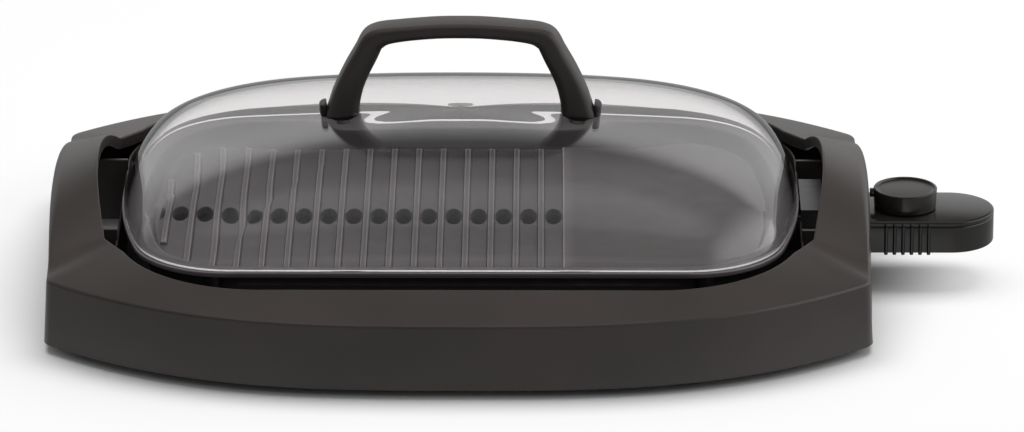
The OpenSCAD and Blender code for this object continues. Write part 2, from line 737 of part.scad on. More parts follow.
// Hood over the terminals, open towards the controller and underneath
shroud_x = rim_w / 2 + plate_ledge + 0.6;
shroud_l = 14;
shroud_top_z = rim_z + 0.3;
module terminal_shroud() {
    color("#6f6f70") framed() difference() {
        union() {
            translate([shroud_x, -shroud_w / 2, ctrl_z - 0.5])
                cube([shroud_l, shroud_w, shroud_top_z - ctrl_z + 0.5]);
            translate([plate_end_x - tab_l, -shroud_w / 2, ctrl_z + 2])
                cube([shroud_x - plate_end_x + tab_l + 1, shroud_w, flange_z - ctrl_z - 2.5]);
        }
        translate([plate_end_x - tab_l - 1, -shroud_w / 2 + shroud_t, ctrl_z - 2])
            cube([shroud_x + 60, shroud_w - 2 * shroud_t, shroud_top_z - shroud_t - ctrl_z + 2]);
        // the sides stop at the plate, and only the tabs go under it
        translate([plate_end_x - tab_l - 1, -shroud_w, plate_z]) cube([tab_l + 1.6, 2 * shroud_w, 40]);
    }
    // tabs that screw to the plate's underside
    color("#6f6f70") framed() for (s = [-1, 1]) difference() {
        translate([plate_end_x - tab_l / 2, s * (shroud_screw_y + eps), plate_z - shroud_t / 2])
            cube([tab_l, tab_w + 2 * eps, shroud_t], center = true);
        translate([shroud_screw_x, s * shroud_screw_y, plate_z - 5]) cylinder(d = 3.4, h = 10);
    }
}

module shroud_screws() {
    color(steel_colour) framed() for (s = [-1, 1])
        translate([shroud_screw_x, s * shroud_screw_y, plate_z - shroud_t - 2]) {
            cylinder(d = 5.5, h = 2);
            cylinder(d = 3, h = 2 + shroud_t + 3);
        }
}

// ---------- lid ----------

dome_z = rim_z + glass_edge_h;
dome_top_z = dome_z + dome_h;
dome_steps = 11;
crown_flat = 0.06;

// Level r of the dome, 1 at the rim and 0 at the crown: on the way up the rim's outline
// softens into a superellipse of exponent crown_p. The section's exponent follows the direction
function gauge(p) = pow(pow(abs(p[0]) / (rim_w / 2), crown_p) + pow(abs(p[1]) / (rim_d / 2), crown_p), 1 / crown_p);
function dome_n(p) = let (u = pow(p[0] / rim_w, 2), v = pow(p[1] / rim_d, 2)) mix(dome_nx, dome_ny, v / (u + v));
function dome_ring(r, inset, z, h) = [for (p = rim_line)
    let (f = r * mix(1 / gauge(p), 1, pow(r, rim_reach)), n = dome_n(p))
    [p[0] * (1 - 2 * inset / rim_w) * f, p[1] * (1 - 2 * inset / rim_d) * f, z + h * pow(1 - pow(r, n), 1 / n)]];
// Levels crowd together near the rim, where the section is steep
function dome_level(i) = mix(crown_flat, 1, sin(90 * i / dome_steps));
function dome_height(x) = dome_z + dome_h * pow(1 - pow(2 * abs(x) / rim_w, dome_nx), 1 / dome_nx);

lean = atan((dome_height(leg_x - 5) - dome_height(leg_x + 5)) / 10); // slope of the glass under a leg
foot_z = dome_height(leg_x);

module dome_skin() {
    inner_h = dome_h + dome_z - rim_z - glass_t;
    skin(concat(
        [for (i = [0:dome_steps - 1]) dome_ring(dome_level(i), glass_t, rim_z, inner_h)],
        [at_z(rim_form(glass_t), rim_z)],
        [at_z(rim_form(0.6), rim_z)],
        [at_z(rim_form(0), rim_z + 0.8)],
        [at_z(rim_form(0), dome_z)],
        [for (i = [dome_steps - 1:-1:0]) dome_ring(dome_level(i), 0, dome_z, dome_h)]
    ));
}

module lid_glass() {
    color(glass_colour, 0.35) framed() difference() {
        dome_skin();
        for (s = [-1, 1]) translate([s * leg_x, 0, foot_z]) rotate([0, s * lean, 0])
            cylinder(d = lid_screw_d + 1, h = 30, center = true);
    }
}

// Handle: middle line and half thickness along its length, from the right foot to the left
handle_top_z = dome_top_z + handle_rise;
shoulder_x = 52;
shoulder_z = handle_top_z - bar_t / 2 - 6;
shoulder_t = 15;
leg_steps = 7;
bar_steps = 8;
// The leg bows outwards as it rises from the foot to the shoulder
function leg_line(k) = [
    mix(leg_x, shoulder_x + 5, pow(k, 1.55)),
    mix(foot_z, shoulder_z - 7, k),
    mix(leg_w, shoulder_t, 1 - pow(1 - k, 2))];
function bar_line(k) = [
    mix(shoulder_x - 9, 0, k),
    mix(shoulder_z + 2.2, handle_top_z - bar_t / 2, 1 - pow(1 - k, 2)),
    mix(bar_t + 1.5, bar_t, k)];
right_half = concat(
    [[leg_x, foot_z - 8, leg_w]],
    [for (i = [0:leg_steps]) leg_line(i / leg_steps)],
    [[shoulder_x + 2.2, shoulder_z - 3, 14.5], [shoulder_x - 2.5, shoulder_z + 0.1, 12.8]],
    [for (i = [0:bar_steps]) bar_line(i / bar_steps)]
);
h_last = len(right_half) - 1;
handle_line = concat(
    right_half,
    [for (i = [h_last - 1:-1:0]) [-right_half[i][0], right_half[i][1], right_half[i][2]]]);

// Rounded section of the handle: depth d along Y and thickness t across the line
section_corners = [[1, 1, 0], [-1, 1, 90], [-1, -1, 180], [1, -1, 270]];
function bar_section(d, t, r) = [for (c = section_corners) for (a = [0, 30, 60, 90])
    [c[0] * (d / 2 - r) + r * cos(c[2] + a), c[1] * (t / 2 - r) + r * sin(c[2] + a)]];

function handle_ring(i) =
    let (n = len(handle_line) - 1, p = handle_line[i],
         a = handle_line[max(0, i - 1)], b = handle_line[min(n, i + 1)],
         along = (i == 0 || i == n) ? [0, i == 0 ? 1 : -1] : unit([b[0] - a[0], b[1] - a[1]]),
         across = [-along[1], along[0]])
    [for (q = bar_section(bar_d, p[2], bar_r)) [p[0] + across[0] * q[1], q[0], p[1] + across[1] * q[1]]];

module lid_handle() {
    color(body_colour) framed() difference() {
        skin([for (i = [0:len(handle_line) - 1]) handle_ring(i)]);
        for (s = [-1, 1]) {
            // the foot is cut to the slope of the glass, over its pad
            translate([s * leg_x, 0, foot_z]) rotate([0, s * lean, 0])
                translate([-leg_w, -bar_d, pad_t - 30]) cube([2 * leg_w, 2 * bar_d, 30]);
            translate([s * leg_x, 0, foot_z]) rotate([0, s * lean, 0])
                cylinder(d = lid_screw_d - 0.7, h = lid_screw_l + 4);
        }
    }
}

// Pad under a leg, with a toe that stands up outside it
module handle_pad(s) {
    color("#1b1a1a") framed() translate([s * leg_x, 0, foot_z]) rotate([0, s * lean, 0]) difference() {
        union() {
            translate([-leg_w / 2 + 0.5, -bar_d / 2 + 0.5, 0.1]) cube([leg_w - 1, bar_d - 1, pad_t - 0.1]);
            intersection() {
                translate([s * (leg_w / 2 + toe_out - 9), 0, 0.1]) cylinder(r = 9, h = toe_h);
                translate([s > 0 ? leg_w / 2 + 0.15 : -leg_w / 2 - toe_out - 0.15, -9, 0])
                    cube([toe_out, 18, toe_h + 1]);
            }
            translate([s > 0 ? leg_w / 2 - 1 : -leg_w / 2 - 0.5, -6, 0.1]) cube([1.5, 12, pad_t - 0.1]);
        }
        cylinder(d = lid_screw_d + 1, h = 10, center = true);
    }
}
module handle_pad_left() { handle_pad(-1); }
module handle_pad_right() { handle_pad(1); }

washer_t = 1.6;
washer_d = 15;
lid_head_d = 10;
lid_head_h = 3;
lid_screw_l = 16; // length inside the handle
glass_under = glass_t + 0.35; // thickness of the sloping glass along a screw
module lid_washers() {
    color(rubber_colour) framed() for (s = [-1, 1]) translate([s * leg_x, 0, foot_z]) rotate([0, s * lean, 0])
        translate([0, 0, -glass_under - washer_t]) difference() {
            cylinder(d = washer_d, h = washer_t);
            translate([0, 0, -1]) cylinder(d = lid_screw_d + 0.6, h = washer_t + 2);
        }
}

module lid_screws() {
    color(steel_colour) framed() for (s = [-1, 1]) translate([s * leg_x, 0, foot_z]) rotate([0, s * lean, 0])
        translate([0, 0, -glass_under - washer_t - lid_head_h]) {
            cylinder(d = lid_head_d, h = lid_head_h);
            cylinder(d = lid_screw_d - 0.8, h = lid_head_h + washer_t + glass_under + lid_screw_l);
        }
}

// ---------- controller ----------

// Outline of the controller: nose, body and round end, drawn in by inset
module ctrl_form(inset) {
    r = ctrl_w / 2 - inset;
    end_x = ctrl_end_x - ctrl_w / 2;
    translate([nose_x + inset, -nose_w / 2 + inset]) square([end_x - nose_x - inset, nose_w - 2 * inset]);
    translate([body_x + inset, -r]) square([end_x - body_x - inset, 2 * r]);
    translate([end_x, 0]) circle(r, $fn = 96);
}

ridge_x = knob_x + 0.5;
gland_x = ctrl_end_x - ctrl_w / 2 - 4;
gland_d = 10;
gland_z = ctrl_z + 9;
case_screw_places = [[ctrl_end_x - 12, 0], [body_x + 6, 20], [body_x + 6, -20]];
nose_hole_d = pin_d + 2;

// Finger ridges on both sides, between two heights
module ridges(z0, z1) {
    for (s = [-1, 1]) for (i = [0:ridge_count - 1])
        translate([ridge_x + (i - (ridge_count - 1) / 2) * ridge_pitch, s * ctrl_w / 2, z0])
            cylinder(r = ridge_r, h = z1 - z0);
}

module controller_lower_case() {
    color(case_colour) framed() difference() {
        union() {
            difference() {
                translate([0, 0, ctrl_z]) linear_extrude(part_z - ctrl_z) ctrl_form(0);
                translate([0, 0, ctrl_z + case_t]) linear_extrude(ctrl_h) ctrl_form(case_t);
            }
            difference() {
                ridges(ctrl_z - 0.8, part_z);
                translate([body_x, case_t - ctrl_w / 2, ctrl_z - 1]) cube([ctrl_w + 20, ctrl_w - 2 * case_t, ctrl_h]);
            }
            for (p = case_screw_places) translate([p[0], p[1], ctrl_z + case_t - eps])
                cylinder(d = 7, h = part_z - ctrl_z - case_t - 1);
        }
        // holes in the nose for the pins and the probe
        translate([nose_x - 1, 0, pin_z]) rotate([0, 90, 0]) {
            for (s = [-1, 1]) translate([0, s * pin_pitch / 2, 0]) cylinder(d = nose_hole_d, h = case_t + 2);
            cylinder(d = probe_d + 0.4, h = case_t + 2);
        }
        for (p = case_screw_places) translate([p[0], p[1], ctrl_z - 1]) {
            cylinder(d = 5.4, h = 4);
            cylinder(d = 3, h = 40);
        }
        translate([gland_x, ctrl_w / 2 + 2, gland_z]) rotate([90, 0, 0]) cylinder(d = gland_d, h = 6);
    }
}

cover_lip_h = 2;
tongue_half = 19;
step_x = side_x + 8;
lens_d = 5;
lens_y = 23.2;
module controller_cover() {
    color(case_colour) framed() difference() {
        union() {
            translate([0, 0, part_z]) linear_extrude(cover_h - 0.8) ctrl_form(0);
            ridges(part_z, ctrl_top_z - 1.2);
            translate([0, 0, ctrl_top_z - 0.8 - eps]) linear_extrude(0.8 + eps) ctrl_form(0.7);
            translate([0, 0, part_z - cover_lip_h]) linear_extrude(cover_lip_h + eps) difference() {
                ctrl_form(case_t + 0.15);
                ctrl_form(case_t + 1.6);
                for (p = case_screw_places) translate(p) circle(d = 7.6);
            }
        }
        translate([0, 0, part_z - 5]) linear_extrude(5 + cover_h - case_t) ctrl_form(case_t + 1.6);
        // shoulders beside the tongue that runs in under the grip
        for (s = [-1, 1]) translate([nose_x - 1, s > 0 ? tongue_half : -tongue_half - 20, ctrl_top_z - 1.2])
            cube([step_x - nose_x + 1, 20, 3]);
        translate([knob_x, 0, part_z - 5]) cylinder(d = shaft_d + 1.2, h = 20);
        translate([knob_x + 2, lens_y, part_z - 5]) cylinder(d = lens_d, h = 20);
        for (p = case_screw_places) translate([p[0], p[1], part_z - 5]) cylinder(d = 2.6, h = 5 + cover_h - 1.2);
    }
}

module contact_block() {
    block_x = nose_x + case_t + 0.2;
    block_h = part_z - cover_lip_h - 0.3 - ctrl_z - case_t - 0.2;
    color(ceramic_colour) framed() difference() {
        translate([block_x, -nose_w / 2 + case_t + 0.3, ctrl_z + case_t + 0.1])
            cube([nose_l - case_t - 4, nose_w - 2 * case_t - 0.6, block_h]);
        translate([block_x - 1, 0, pin_z]) rotate([0, 90, 0]) {
            for (s = [-1, 1]) translate([0, s * pin_pitch / 2, 0]) cylinder(d = contact_d + 0.1, h = 60);
            cylinder(d = probe_d + 0.1, h = 60);
        }
    }
}

contact_d = 7.2;
module socket_contacts() {
    bore_l = pin_x + pin_l - nose_x + 1;
    color("#c08a3a") framed() for (s = [-1, 1])
        translate([nose_x + case_t + 0.2, s * pin_pitch / 2, pin_z]) rotate([0, 90, 0]) difference() {
            cylinder(d = contact_d, h = nose_l);
            translate([0, 0, -1]) cylinder(d = pin_d + 0.6, h = bore_l + 1 - case_t);
        }
}

module probe_tube() {
    color(steel_colour) framed() translate([nose_x - probe_l, 0, pin_z]) rotate([0, 90, 0]) {
        translate([0, 0, probe_d / 2]) cylinder(d = probe_d, h = probe_l + nose_l + 6 - probe_d / 2);
        translate([0, 0, probe_d / 2]) sphere(d = probe_d);
    }
}

// Frame that carries the shaft's bush and the blade stack
frame_l = 34;
frame_w = 22;
frame_top_z = part_z - cover_lip_h - 0.5;
bush_d = 11;
module thermostat_frame() {
    x0 = knob_x - 12;
    color(steel_colour) framed() difference() {
        union() {
            translate([x0, -frame_w / 2, ctrl_z + case_t + 0.1]) cube([frame_l, frame_w, 1.5]);
            translate([x0, -frame_w / 2, frame_top_z - 1.5]) cube([frame_l, frame_w, 1.5]);
            translate([x0, -frame_w / 2, ctrl_z + case_t + 0.1])
                cube([1.5, frame_w, frame_top_z - ctrl_z - case_t - 0.1]);
            translate([knob_x, 0, frame_top_z - 4]) cylinder(d = bush_d, h = 4);
        }
        translate([knob_x, 0, frame_top_z - 10]) cylinder(r = shaft_d / 2 + shaft_fit, h = 20);
    }
}

blade_l = 26;
blade_w = 8;
module thermostat_blades() {
    x0 = knob_x - 6;
    z0 = ctrl_z + case_t + 1.6;
    color("#c08a3a") framed() {
        translate([x0 + blade_l - 6, -blade_w / 2, z0]) cube([6, blade_w, 5.4]);
        for (i = [0, 1])
            translate([x0 + 2 * i, -blade_w / 2, z0 + 1.4 + 2 * i]) cube([blade_l - 2 * i, blade_w, 0.6]);
    }
}

module indicator_lens() {
    color("#8c2a1c") framed() translate([knob_x + 2, lens_y, 0]) {
        translate([0, 0, part_z - 2]) cylinder(d = lens_d - 0.1, h = cover_h + 2);
        translate([0, 0, ctrl_top_z - eps]) cylinder(d1 = lens_d - 0.1, d2 = lens_d - 1.6, h = 0.8);
    }
}

module cord_gland() {
    color(rubber_colour) framed() translate([gland_x, ctrl_w / 2, gland_z]) rotate([90, 0, 0]) difference() {
        union() {
            translate([0, 0, -1.2]) cylinder(d = gland_d + 3, h = 1.2);
            translate([0, 0, -eps]) cylinder(d = gland_d - 0.1, h = case_t + 1.5);
        }
        translate([0, 0, -3]) cylinder(d = 7, h = 10);
    }
}

module case_screws() {
    color(steel_colour) framed() for (p = case_screw_places)
        translate([p[0], p[1], 0]) screw(ctrl_z + 3, 2.6, part_z - ctrl_z - 3, 5, 2);
}

// ---------- knob ----------

knob_z = ctrl_top_z + knob_gap;
knob_top_z = knob_z + knob_h;
module control_knob() {
    color(case_colour) framed() translate([knob_x, 0, 0]) difference() {
        rotate_extrude($fn = 96) polygon([
            [shaft_d / 2, knob_z + 1], [bush_d / 2, knob_z + 1], [bush_d / 2, knob_top_z - knob_dish - 2.2],
            [knob_d / 2 - 2, knob_top_z - knob_dish - 2.2], [knob_d / 2 - 2, knob_z], [knob_d / 2, knob_z],
            [knob_top_d / 2, knob_top_z - 1], [knob_top_d / 2 - 0.8, knob_top_z],
            [knob_top_d / 2 - 1.6, knob_top_z], [knob_top_d / 2 - 2.2, knob_top_z - knob_dish],
            [0, knob_top_z - knob_dish], [0, knob_top_z - knob_dish - 3], [shaft_d / 2, knob_top_z - knob_dish - 3]]);
    }
    // pointer lug
    color(case_colour) framed() translate([knob_x - knob_d / 2 - pointer_l + 1, -pointer_w / 2, knob_top_z - 1 - pointer_h])
        cube([pointer_l, pointer_w, pointer_h]);
}

module knob_shaft() {
    color(steel_colour) framed() translate([knob_x, 0, ctrl_z + case_t + 8.4])
        cylinder(d = shaft_d - eps, h = knob_top_z - knob_dish - 3.2 - ctrl_z - case_t - 8.4);
}

base_housing();
base_floor();
floor_screws();
drip_tray();
foot_front_left();
foot_front_right();
foot_rear_left();
foot_rear_right();
foot_screws();
plate_supports();
support_screws();
grill_plate();
heating_element();
element_clamps();
clamp_screws();
terminal_pins();
pin_insulators();
terminal_shroud();
shroud_screws();
lid_glass();
lid_handle();
handle_pad_left();
handle_pad_right();
lid_screws();
lid_washers();
controller_lower_case();
controller_cover();
contact_block();
socket_contacts();
probe_tube();
thermostat_frame();
thermostat_blades();
indicator_lens();
cord_gland();
case_screws();
control_knob();
knob_shaft();
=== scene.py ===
"""Looks of a tabletop electric grill: its moulded base, coated plate, glass lid with a bridge
handle, and plug-in controller, with the studio they are shown in.

Shapes are worked out in millimetres about the middle of the base, X to the right, Y to the
back, Z up from the table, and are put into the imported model's frame in metres at the end.
"""

import math

import bmesh
import bpy
import numpy as np
from mathutils import Matrix, Vector
from mathutils.geometry import delaunay_2d_cdt


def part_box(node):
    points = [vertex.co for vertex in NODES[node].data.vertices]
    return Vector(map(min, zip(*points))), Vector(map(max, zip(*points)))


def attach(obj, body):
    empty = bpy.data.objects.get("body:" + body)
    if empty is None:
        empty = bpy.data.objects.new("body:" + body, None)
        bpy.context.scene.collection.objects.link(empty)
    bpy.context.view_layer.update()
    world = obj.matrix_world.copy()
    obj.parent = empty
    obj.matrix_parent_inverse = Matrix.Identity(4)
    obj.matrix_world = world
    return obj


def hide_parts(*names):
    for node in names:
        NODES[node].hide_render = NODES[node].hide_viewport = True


bl_info = {
    "name": "Tabletop Grill Looks",
    "version": (1, 0, 0),
    "blender": (4, 5, 0),
    "location": "View3D > Sidebar > Grill",
    "description": "Builds the visible pieces, finishes and studio of a tabletop electric grill",
    "category": "Object",
}

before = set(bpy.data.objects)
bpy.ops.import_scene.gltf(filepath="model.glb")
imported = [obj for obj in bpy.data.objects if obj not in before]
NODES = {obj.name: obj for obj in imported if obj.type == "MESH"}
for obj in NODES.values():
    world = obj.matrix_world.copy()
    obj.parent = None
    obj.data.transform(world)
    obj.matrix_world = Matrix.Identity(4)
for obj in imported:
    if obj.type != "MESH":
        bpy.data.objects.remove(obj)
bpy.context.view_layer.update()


def cad_mm(node):
    """Lowest and highest corners of a solid, in millimetres about the middle of the base."""
    low, high = (np.array(c) * 1000 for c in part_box(node))
    return low - MIDDLE, high - MIDDLE


MIDDLE = np.zeros(3)
MIDDLE[0] = sum(c[0] for c in cad_mm("base_housing")) / 2
BASE_LOW, BASE_HIGH = cad_mm("base_housing")
PLATE_LOW, PLATE_HIGH = cad_mm("grill_plate")
CASE_LOW, CASE_HIGH = cad_mm("controller_lower_case")
GLASS_FOOT = cad_mm("lid_glass")[0][2]
HANDLE_TOP = cad_mm("lid_handle")[1][2]
COVER_TOP = cad_mm("controller_cover")[1][2]
KNOB_FOOT, KNOB_TOP = (corner[2] for corner in cad_mm("control_knob"))

# the plug slot in the right apron: half its width, and its heights over the table
SLOT_HALF = 29.2
SLOT_LOW = 24.5
SLOT_HIGH = 47.6

# the well's corners in plan: their radius and the middle of the one at the back right
WELL_RADIUS = 90.0
WELL_X = 120.0
WELL_Y = 80.0

# the rim line that plate and lid share: half its width and depth
RIM_X = 210.0
RIM_Y = 139.7

# heights of the pan's floor and underside, counted up from the foot of the probe's boss
PAN_FLOOR = PLATE_LOW[2] + 13.5
PAN_UNDER = PLATE_LOW[2] + 8.5

# the dome: height of its rim line over its lowest point, and the exponent of its plan near the
# crown; X of the handle's legs
LINE_OVER_RIM = 1.7
CROWN_POWER = 3.8
LEG_X = 73.0

# the controller: half its width, and X of the knob's axis
CASE_HALF = 28.0
KNOB_X = 277.5


# ---------------------------------------------------------------- sizes and colours


class GrillSizes(bpy.types.PropertyGroup):
    """Sizes of the visible forms, in millimetres."""

    edge_sweep: bpy.props.FloatProperty(
        name="Edge sweep", description="How far the front edge sweeps back to a corner", default=73.0)
    corner_radius: bpy.props.FloatProperty(
        name="Corner radius", description="Radius of the base's upright corners", default=12.0)
    grip_bow: bpy.props.FloatProperty(
        name="Grip bow", description="How far a grip bows out past the corners", default=3.0)
    apron_draft: bpy.props.FloatProperty(
        name="Apron draft", description="How far the apron's foot stands out past its top", default=2.4)
    apron_top: bpy.props.FloatProperty(
        name="Apron top", description="Height of the apron's edge over the table", default=46.0)
    deck_rise: bpy.props.FloatProperty(
        name="Deck rise", description="Rise of the deck from the apron to the well", default=8.5)
    wall: bpy.props.FloatProperty(
        name="Wall", description="Wall of the base moulding", default=3.0)
    lip: bpy.props.FloatProperty(
        name="Lip", description="Depth of the rolled lip round the well", default=8.0)
    glass: bpy.props.FloatProperty(
        name="Glass", description="Thickness of the lid's glass", default=4.0)
    dome_height: bpy.props.FloatProperty(
        name="Dome height", description="Height of the dome over its rim line", default=56.0)
    dome_across: bpy.props.FloatProperty(
        name="Dome exponent, across", description="Exponent of the dome's section from left to right",
        default=2.0)
    dome_along: bpy.props.FloatProperty(
        name="Dome exponent, along", description="Exponent of the dome's section from front to back",
        default=2.5)
    rib_height: bpy.props.FloatProperty(
        name="Rib height", description="Height of the plate's ribs", default=3.0)
    slot_pitch: bpy.props.FloatProperty(
        name="Slot pitch", description="Distance between drain slots", default=15.6)


class GrillColours(bpy.types.PropertyGroup):
    """Surface colours, as sRGB hex values."""

    body: bpy.props.StringProperty(
        name="Body", description="Moulded base and handle", default="#36312f")
    plate: bpy.props.StringProperty(
        name="Plate", description="Non-stick coating", default="#434041")
    case: bpy.props.StringProperty(
        name="Case", description="Controller and knob", default="#1f1d1b")
    metal: bpy.props.StringProperty(
        name="Metal", description="Plain steel pieces", default="#a9abad")
    rubber: bpy.props.StringProperty(
        name="Rubber", description="Feet, pads and seals", default="#1c1c1c")


def sizes():
    """The scene's sizes."""
    return bpy.context.scene.grill_sizes


def colours():
    """The scene's colours."""
    return bpy.context.scene.grill_colours


# ---------------------------------------------------------------- mesh building


def mix(a, b, t):
    """Straight blend from a to b, for arrays too."""
    return a + (b - a) * t


def grid_faces(rows, cols, wrap_rows=False, wrap_cols=False):
    """Four-cornered faces over a grid of points laid out row by row."""
    i, j = np.meshgrid(np.arange(rows if wrap_rows else rows - 1),
                       np.arange(cols if wrap_cols else cols - 1), indexing="ij")
    i, j = i.ravel(), j.ravel()
    k, l = (i + 1) % rows, (j + 1) % cols
    return np.stack([i * cols + j, i * cols + l, k * cols + l, k * cols + j], -1)


class Shape:
    """Points and faces of one piece, gathered part by part."""

    def __init__(self):
        self.points = []
        self.faces = []
        self.total = 0

    def add(self, points, faces):
        """Adds a part; its faces count from its own first point."""
        points = np.asarray(points, float).reshape(-1, 3)
        self.points.append(points)
        if isinstance(faces, np.ndarray):
            self.faces += (faces + self.total).tolist()
        else:
            self.faces += [[v + self.total for v in f] for f in faces]
        self.total += len(points)

    def tube(self, rings, ends=True):
        """Skin through rings (rings, points, 3), with a face at each end or left open."""
        rings = np.asarray(rings, float)
        m, n = rings.shape[:2]
        faces = grid_faces(m, n, wrap_cols=True).tolist()
        if ends:
            faces += [list(range(n - 1, -1, -1)), list(range((m - 1) * n, m * n))]
        self.add(rings, faces)

    def lathe(self, profile, centre, steps):
        """Profile of (radius, height) pairs turned about the upright axis at centre. Points on
        the axis close it, because doubles are merged at the end."""
        profile = np.asarray(profile, float)
        a = np.linspace(0, 2 * np.pi, steps, endpoint=False)
        rings = np.stack([centre[0] + profile[:, :1] * np.cos(a), centre[1] + profile[:, :1] * np.sin(a),
                          np.repeat(profile[:, 1:], steps, 1)], -1)
        self.add(rings, grid_faces(len(profile), steps, wrap_cols=True))

    def block(self, low, high, bevel):
        """Box with its edges broken: its outline in plan has cut corners, and its top and
        bottom are drawn in by the same bevel."""
        (x0, y0, z0), (x1, y1, z1) = low, high
        outline = np.array([[x0, y0], [x1, y0], [x1, y1], [x0, y1]], float)
        self.prism(round_corners(outline, bevel, 3), z0, z1, bevel, 2)

    def prism(self, outline, z0, z1, bevel, steps):
        """Outline raised from z0 to z1, with quarter-round edges at its top and bottom."""
        t = np.linspace(0, np.pi / 2, steps + 1)
        low = np.stack([bevel * (1 - np.sin(t)), z0 + bevel * (1 - np.cos(t))], 1)
        high = np.stack([bevel * (1 - np.cos(t)), z1 - bevel * (1 - np.sin(t))], 1)
        self.tube([level_ring(inset(outline, d), z) for d, z in [*low, *high]])

    def finish(self, name, sharp=14.0):
        """Makes the object: doubles merged, faces outwards, smooth but for edges sharper than
        the angle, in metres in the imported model's frame."""
        points = (np.concatenate(self.points) + MIDDLE) * 0.001
        mesh = bpy.data.meshes.new(name)
        mesh.from_pydata(points.tolist(), [], self.faces)
        work = bmesh.new()
        work.from_mesh(mesh)
        bmesh.ops.remove_doubles(work, verts=work.verts, dist=2e-6)
        bmesh.ops.dissolve_degenerate(work, edges=work.edges, dist=1e-6)
        bmesh.ops.recalc_face_normals(work, faces=work.faces)
        work.to_mesh(mesh)
        work.free()
        mesh.shade_smooth()
        mesh.set_sharp_from_angle(angle=math.radians(sharp))
        piece = bpy.data.objects.new(name, mesh)
        bpy.context.scene.collection.objects.link(piece)
        return piece


def inset(outline, distance):
    """Counter-clockwise outline drawn in along its corners' normals, so that each side moves
    by the distance."""
    before, after = np.roll(outline, 1, 0), np.roll(outline, -1, 0)
    u, v = outline - before, after - outline
    u /= np.linalg.norm(u, axis=1, keepdims=True)
    v /= np.linalg.norm(v, axis=1, keepdims=True)
    n = np.stack([-(u + v)[:, 1], (u + v)[:, 0]], 1)
    n /= np.linalg.norm(n, axis=1, keepdims=True)
    stretch = 1 / np.clip(np.sum(n * np.stack([-u[:, 1], u[:, 0]], 1), 1), 0.4, 1)
    return outline + n * (distance * stretch)[:, None]


def round_corners(outline, radius, steps):
    """Each corner becomes a parabola between points one radius along its two sides."""
    before, after = np.roll(outline, 1, 0), np.roll(outline, -1, 0)
    a = outline + (before - outline) / np.linalg.norm(before - outline, axis=1, keepdims=True) * radius
    b = outline + (after - outline) / np.linalg.norm(after - outline, axis=1, keepdims=True) * radius
    t = np.linspace(0, 1, steps + 1)[None, :, None]
    rounded = (1 - t) ** 2 * a[:, None] + 2 * t * (1 - t) * outline[:, None] + t ** 2 * b[:, None]
    return rounded.reshape(-1, 2)


def curve_through(points, steps):
    """Smooth curve through points of any width: a cubic between each pair, whose slopes are
    those of the points on either side (Catmull-Rom)."""
    p = np.asarray(points, float)
    p = np.concatenate([[2 * p[0] - p[1]], p, [2 * p[-1] - p[-2]]])
    t = np.linspace(0, 1, steps, endpoint=False)[None, :, None]
    a, b, c, d = (p[i:len(p) - 3 + i, None] for i in range(4))
    bent, twisted = 2 * a - 5 * b + 4 * c - d, 3 * b - a - 3 * c + d
    body = 0.5 * (2 * b + (c - a) * t + bent * t ** 2 + twisted * t ** 3)
    return np.concatenate([body.reshape(-1, p.shape[1]), p[-2:-1]])


def mirrored_quarters(quarter, x_columns=(0,), y_columns=(1,)):
    """Full outline from its quarter where X and Y are positive, which runs from the X axis to
    the Y axis: the quarter and its mirror image across the Y axis, then both across the X
    axis. The columns named hold X and Y, and any others are copied."""
    flip_x, flip_y = np.ones(quarter.shape[1]), np.ones(quarter.shape[1])
    flip_x[list(x_columns)] = -1
    flip_y[list(y_columns)] = -1
    half = np.concatenate([quarter, (quarter * flip_x)[-2::-1]])
    return np.concatenate([half, (half * flip_y)[-2:0:-1]])


def level_ring(outline, z):
    """Outline in plan as a ring at height z."""
    return np.column_stack([outline, np.full(len(outline), z)])


# ---------------------------------------------------------------- materials


def linear(hex_colour):
    """sRGB hex colour as linear values, with an alpha of 1."""
    s = [int(hex_colour[i:i + 2], 16) / 255 for i in (1, 3, 5)]
    return tuple(c / 12.92 if c <= 0.04045 else ((c + 0.055) / 1.055) ** 2.4 for c in s) + (1.0,)


def add_node(tree, kind, settings=None, **inputs):
    """Adds a shader node, sets its fields and inputs, and links inputs that are sockets."""
    node = tree.nodes.new(kind)
    for key, value in (settings or {}).items():
        setattr(node, key, value)
    for key, value in inputs.items():
        socket = node.inputs[int(key[1:]) if key[0] == "_" and key[1:].isdigit() else key.replace("_", " ")]
        if isinstance(value, bpy.types.NodeSocket):
            tree.links.new(value, socket)
        else:
            socket.default_value = value
    return node


def new_material(name):
    """Empty material with its Principled shader, its tree and Object coordinates."""
    material = bpy.data.materials.new(name)
    material.use_nodes = True
    tree = material.node_tree
    shader = tree.nodes["Principled BSDF"]
    place = add_node(tree, "ShaderNodeTexCoord").outputs["Object"]
    return material, tree, shader, place


def grain(tree, place, size_mm, detail=2.0):
    """Even cloudy grain whose patches are about size_mm across."""
    return add_node(tree, "ShaderNodeTexNoise", None, Vector=place, Scale=1000.0 / size_mm,
                    Detail=detail, Roughness=0.5).outputs["Fac"]


def bump(tree, shader, height, depth_mm):
    """Relief of that depth, from a height between 0 and 1."""
    node = add_node(tree, "ShaderNodeBump", None, Height=height, Distance=depth_mm / 1000.0, Strength=1.0)
    tree.links.new(node.outputs["Normal"], shader.inputs["Normal"])


def spread(tree, value, low, high):
    """A 0 to 1 pattern brought to the range low to high."""
    return add_node(tree, "ShaderNodeMapRange", None, Value=value, To_Min=low, To_Max=high).outputs["Result"]


def tint(tree, value, dark, light):
    """Colour between two hex colours, by a pattern."""
    ramp = add_node(tree, "ShaderNodeValToRGB", None, Fac=value)
    ramp.color_ramp.elements[0].position = 0.3
    ramp.color_ramp.elements[0].color = linear(dark)
    ramp.color_ramp.elements[1].position = 0.7
    ramp.color_ramp.elements[1].color = linear(light)
    return ramp.outputs["Color"]


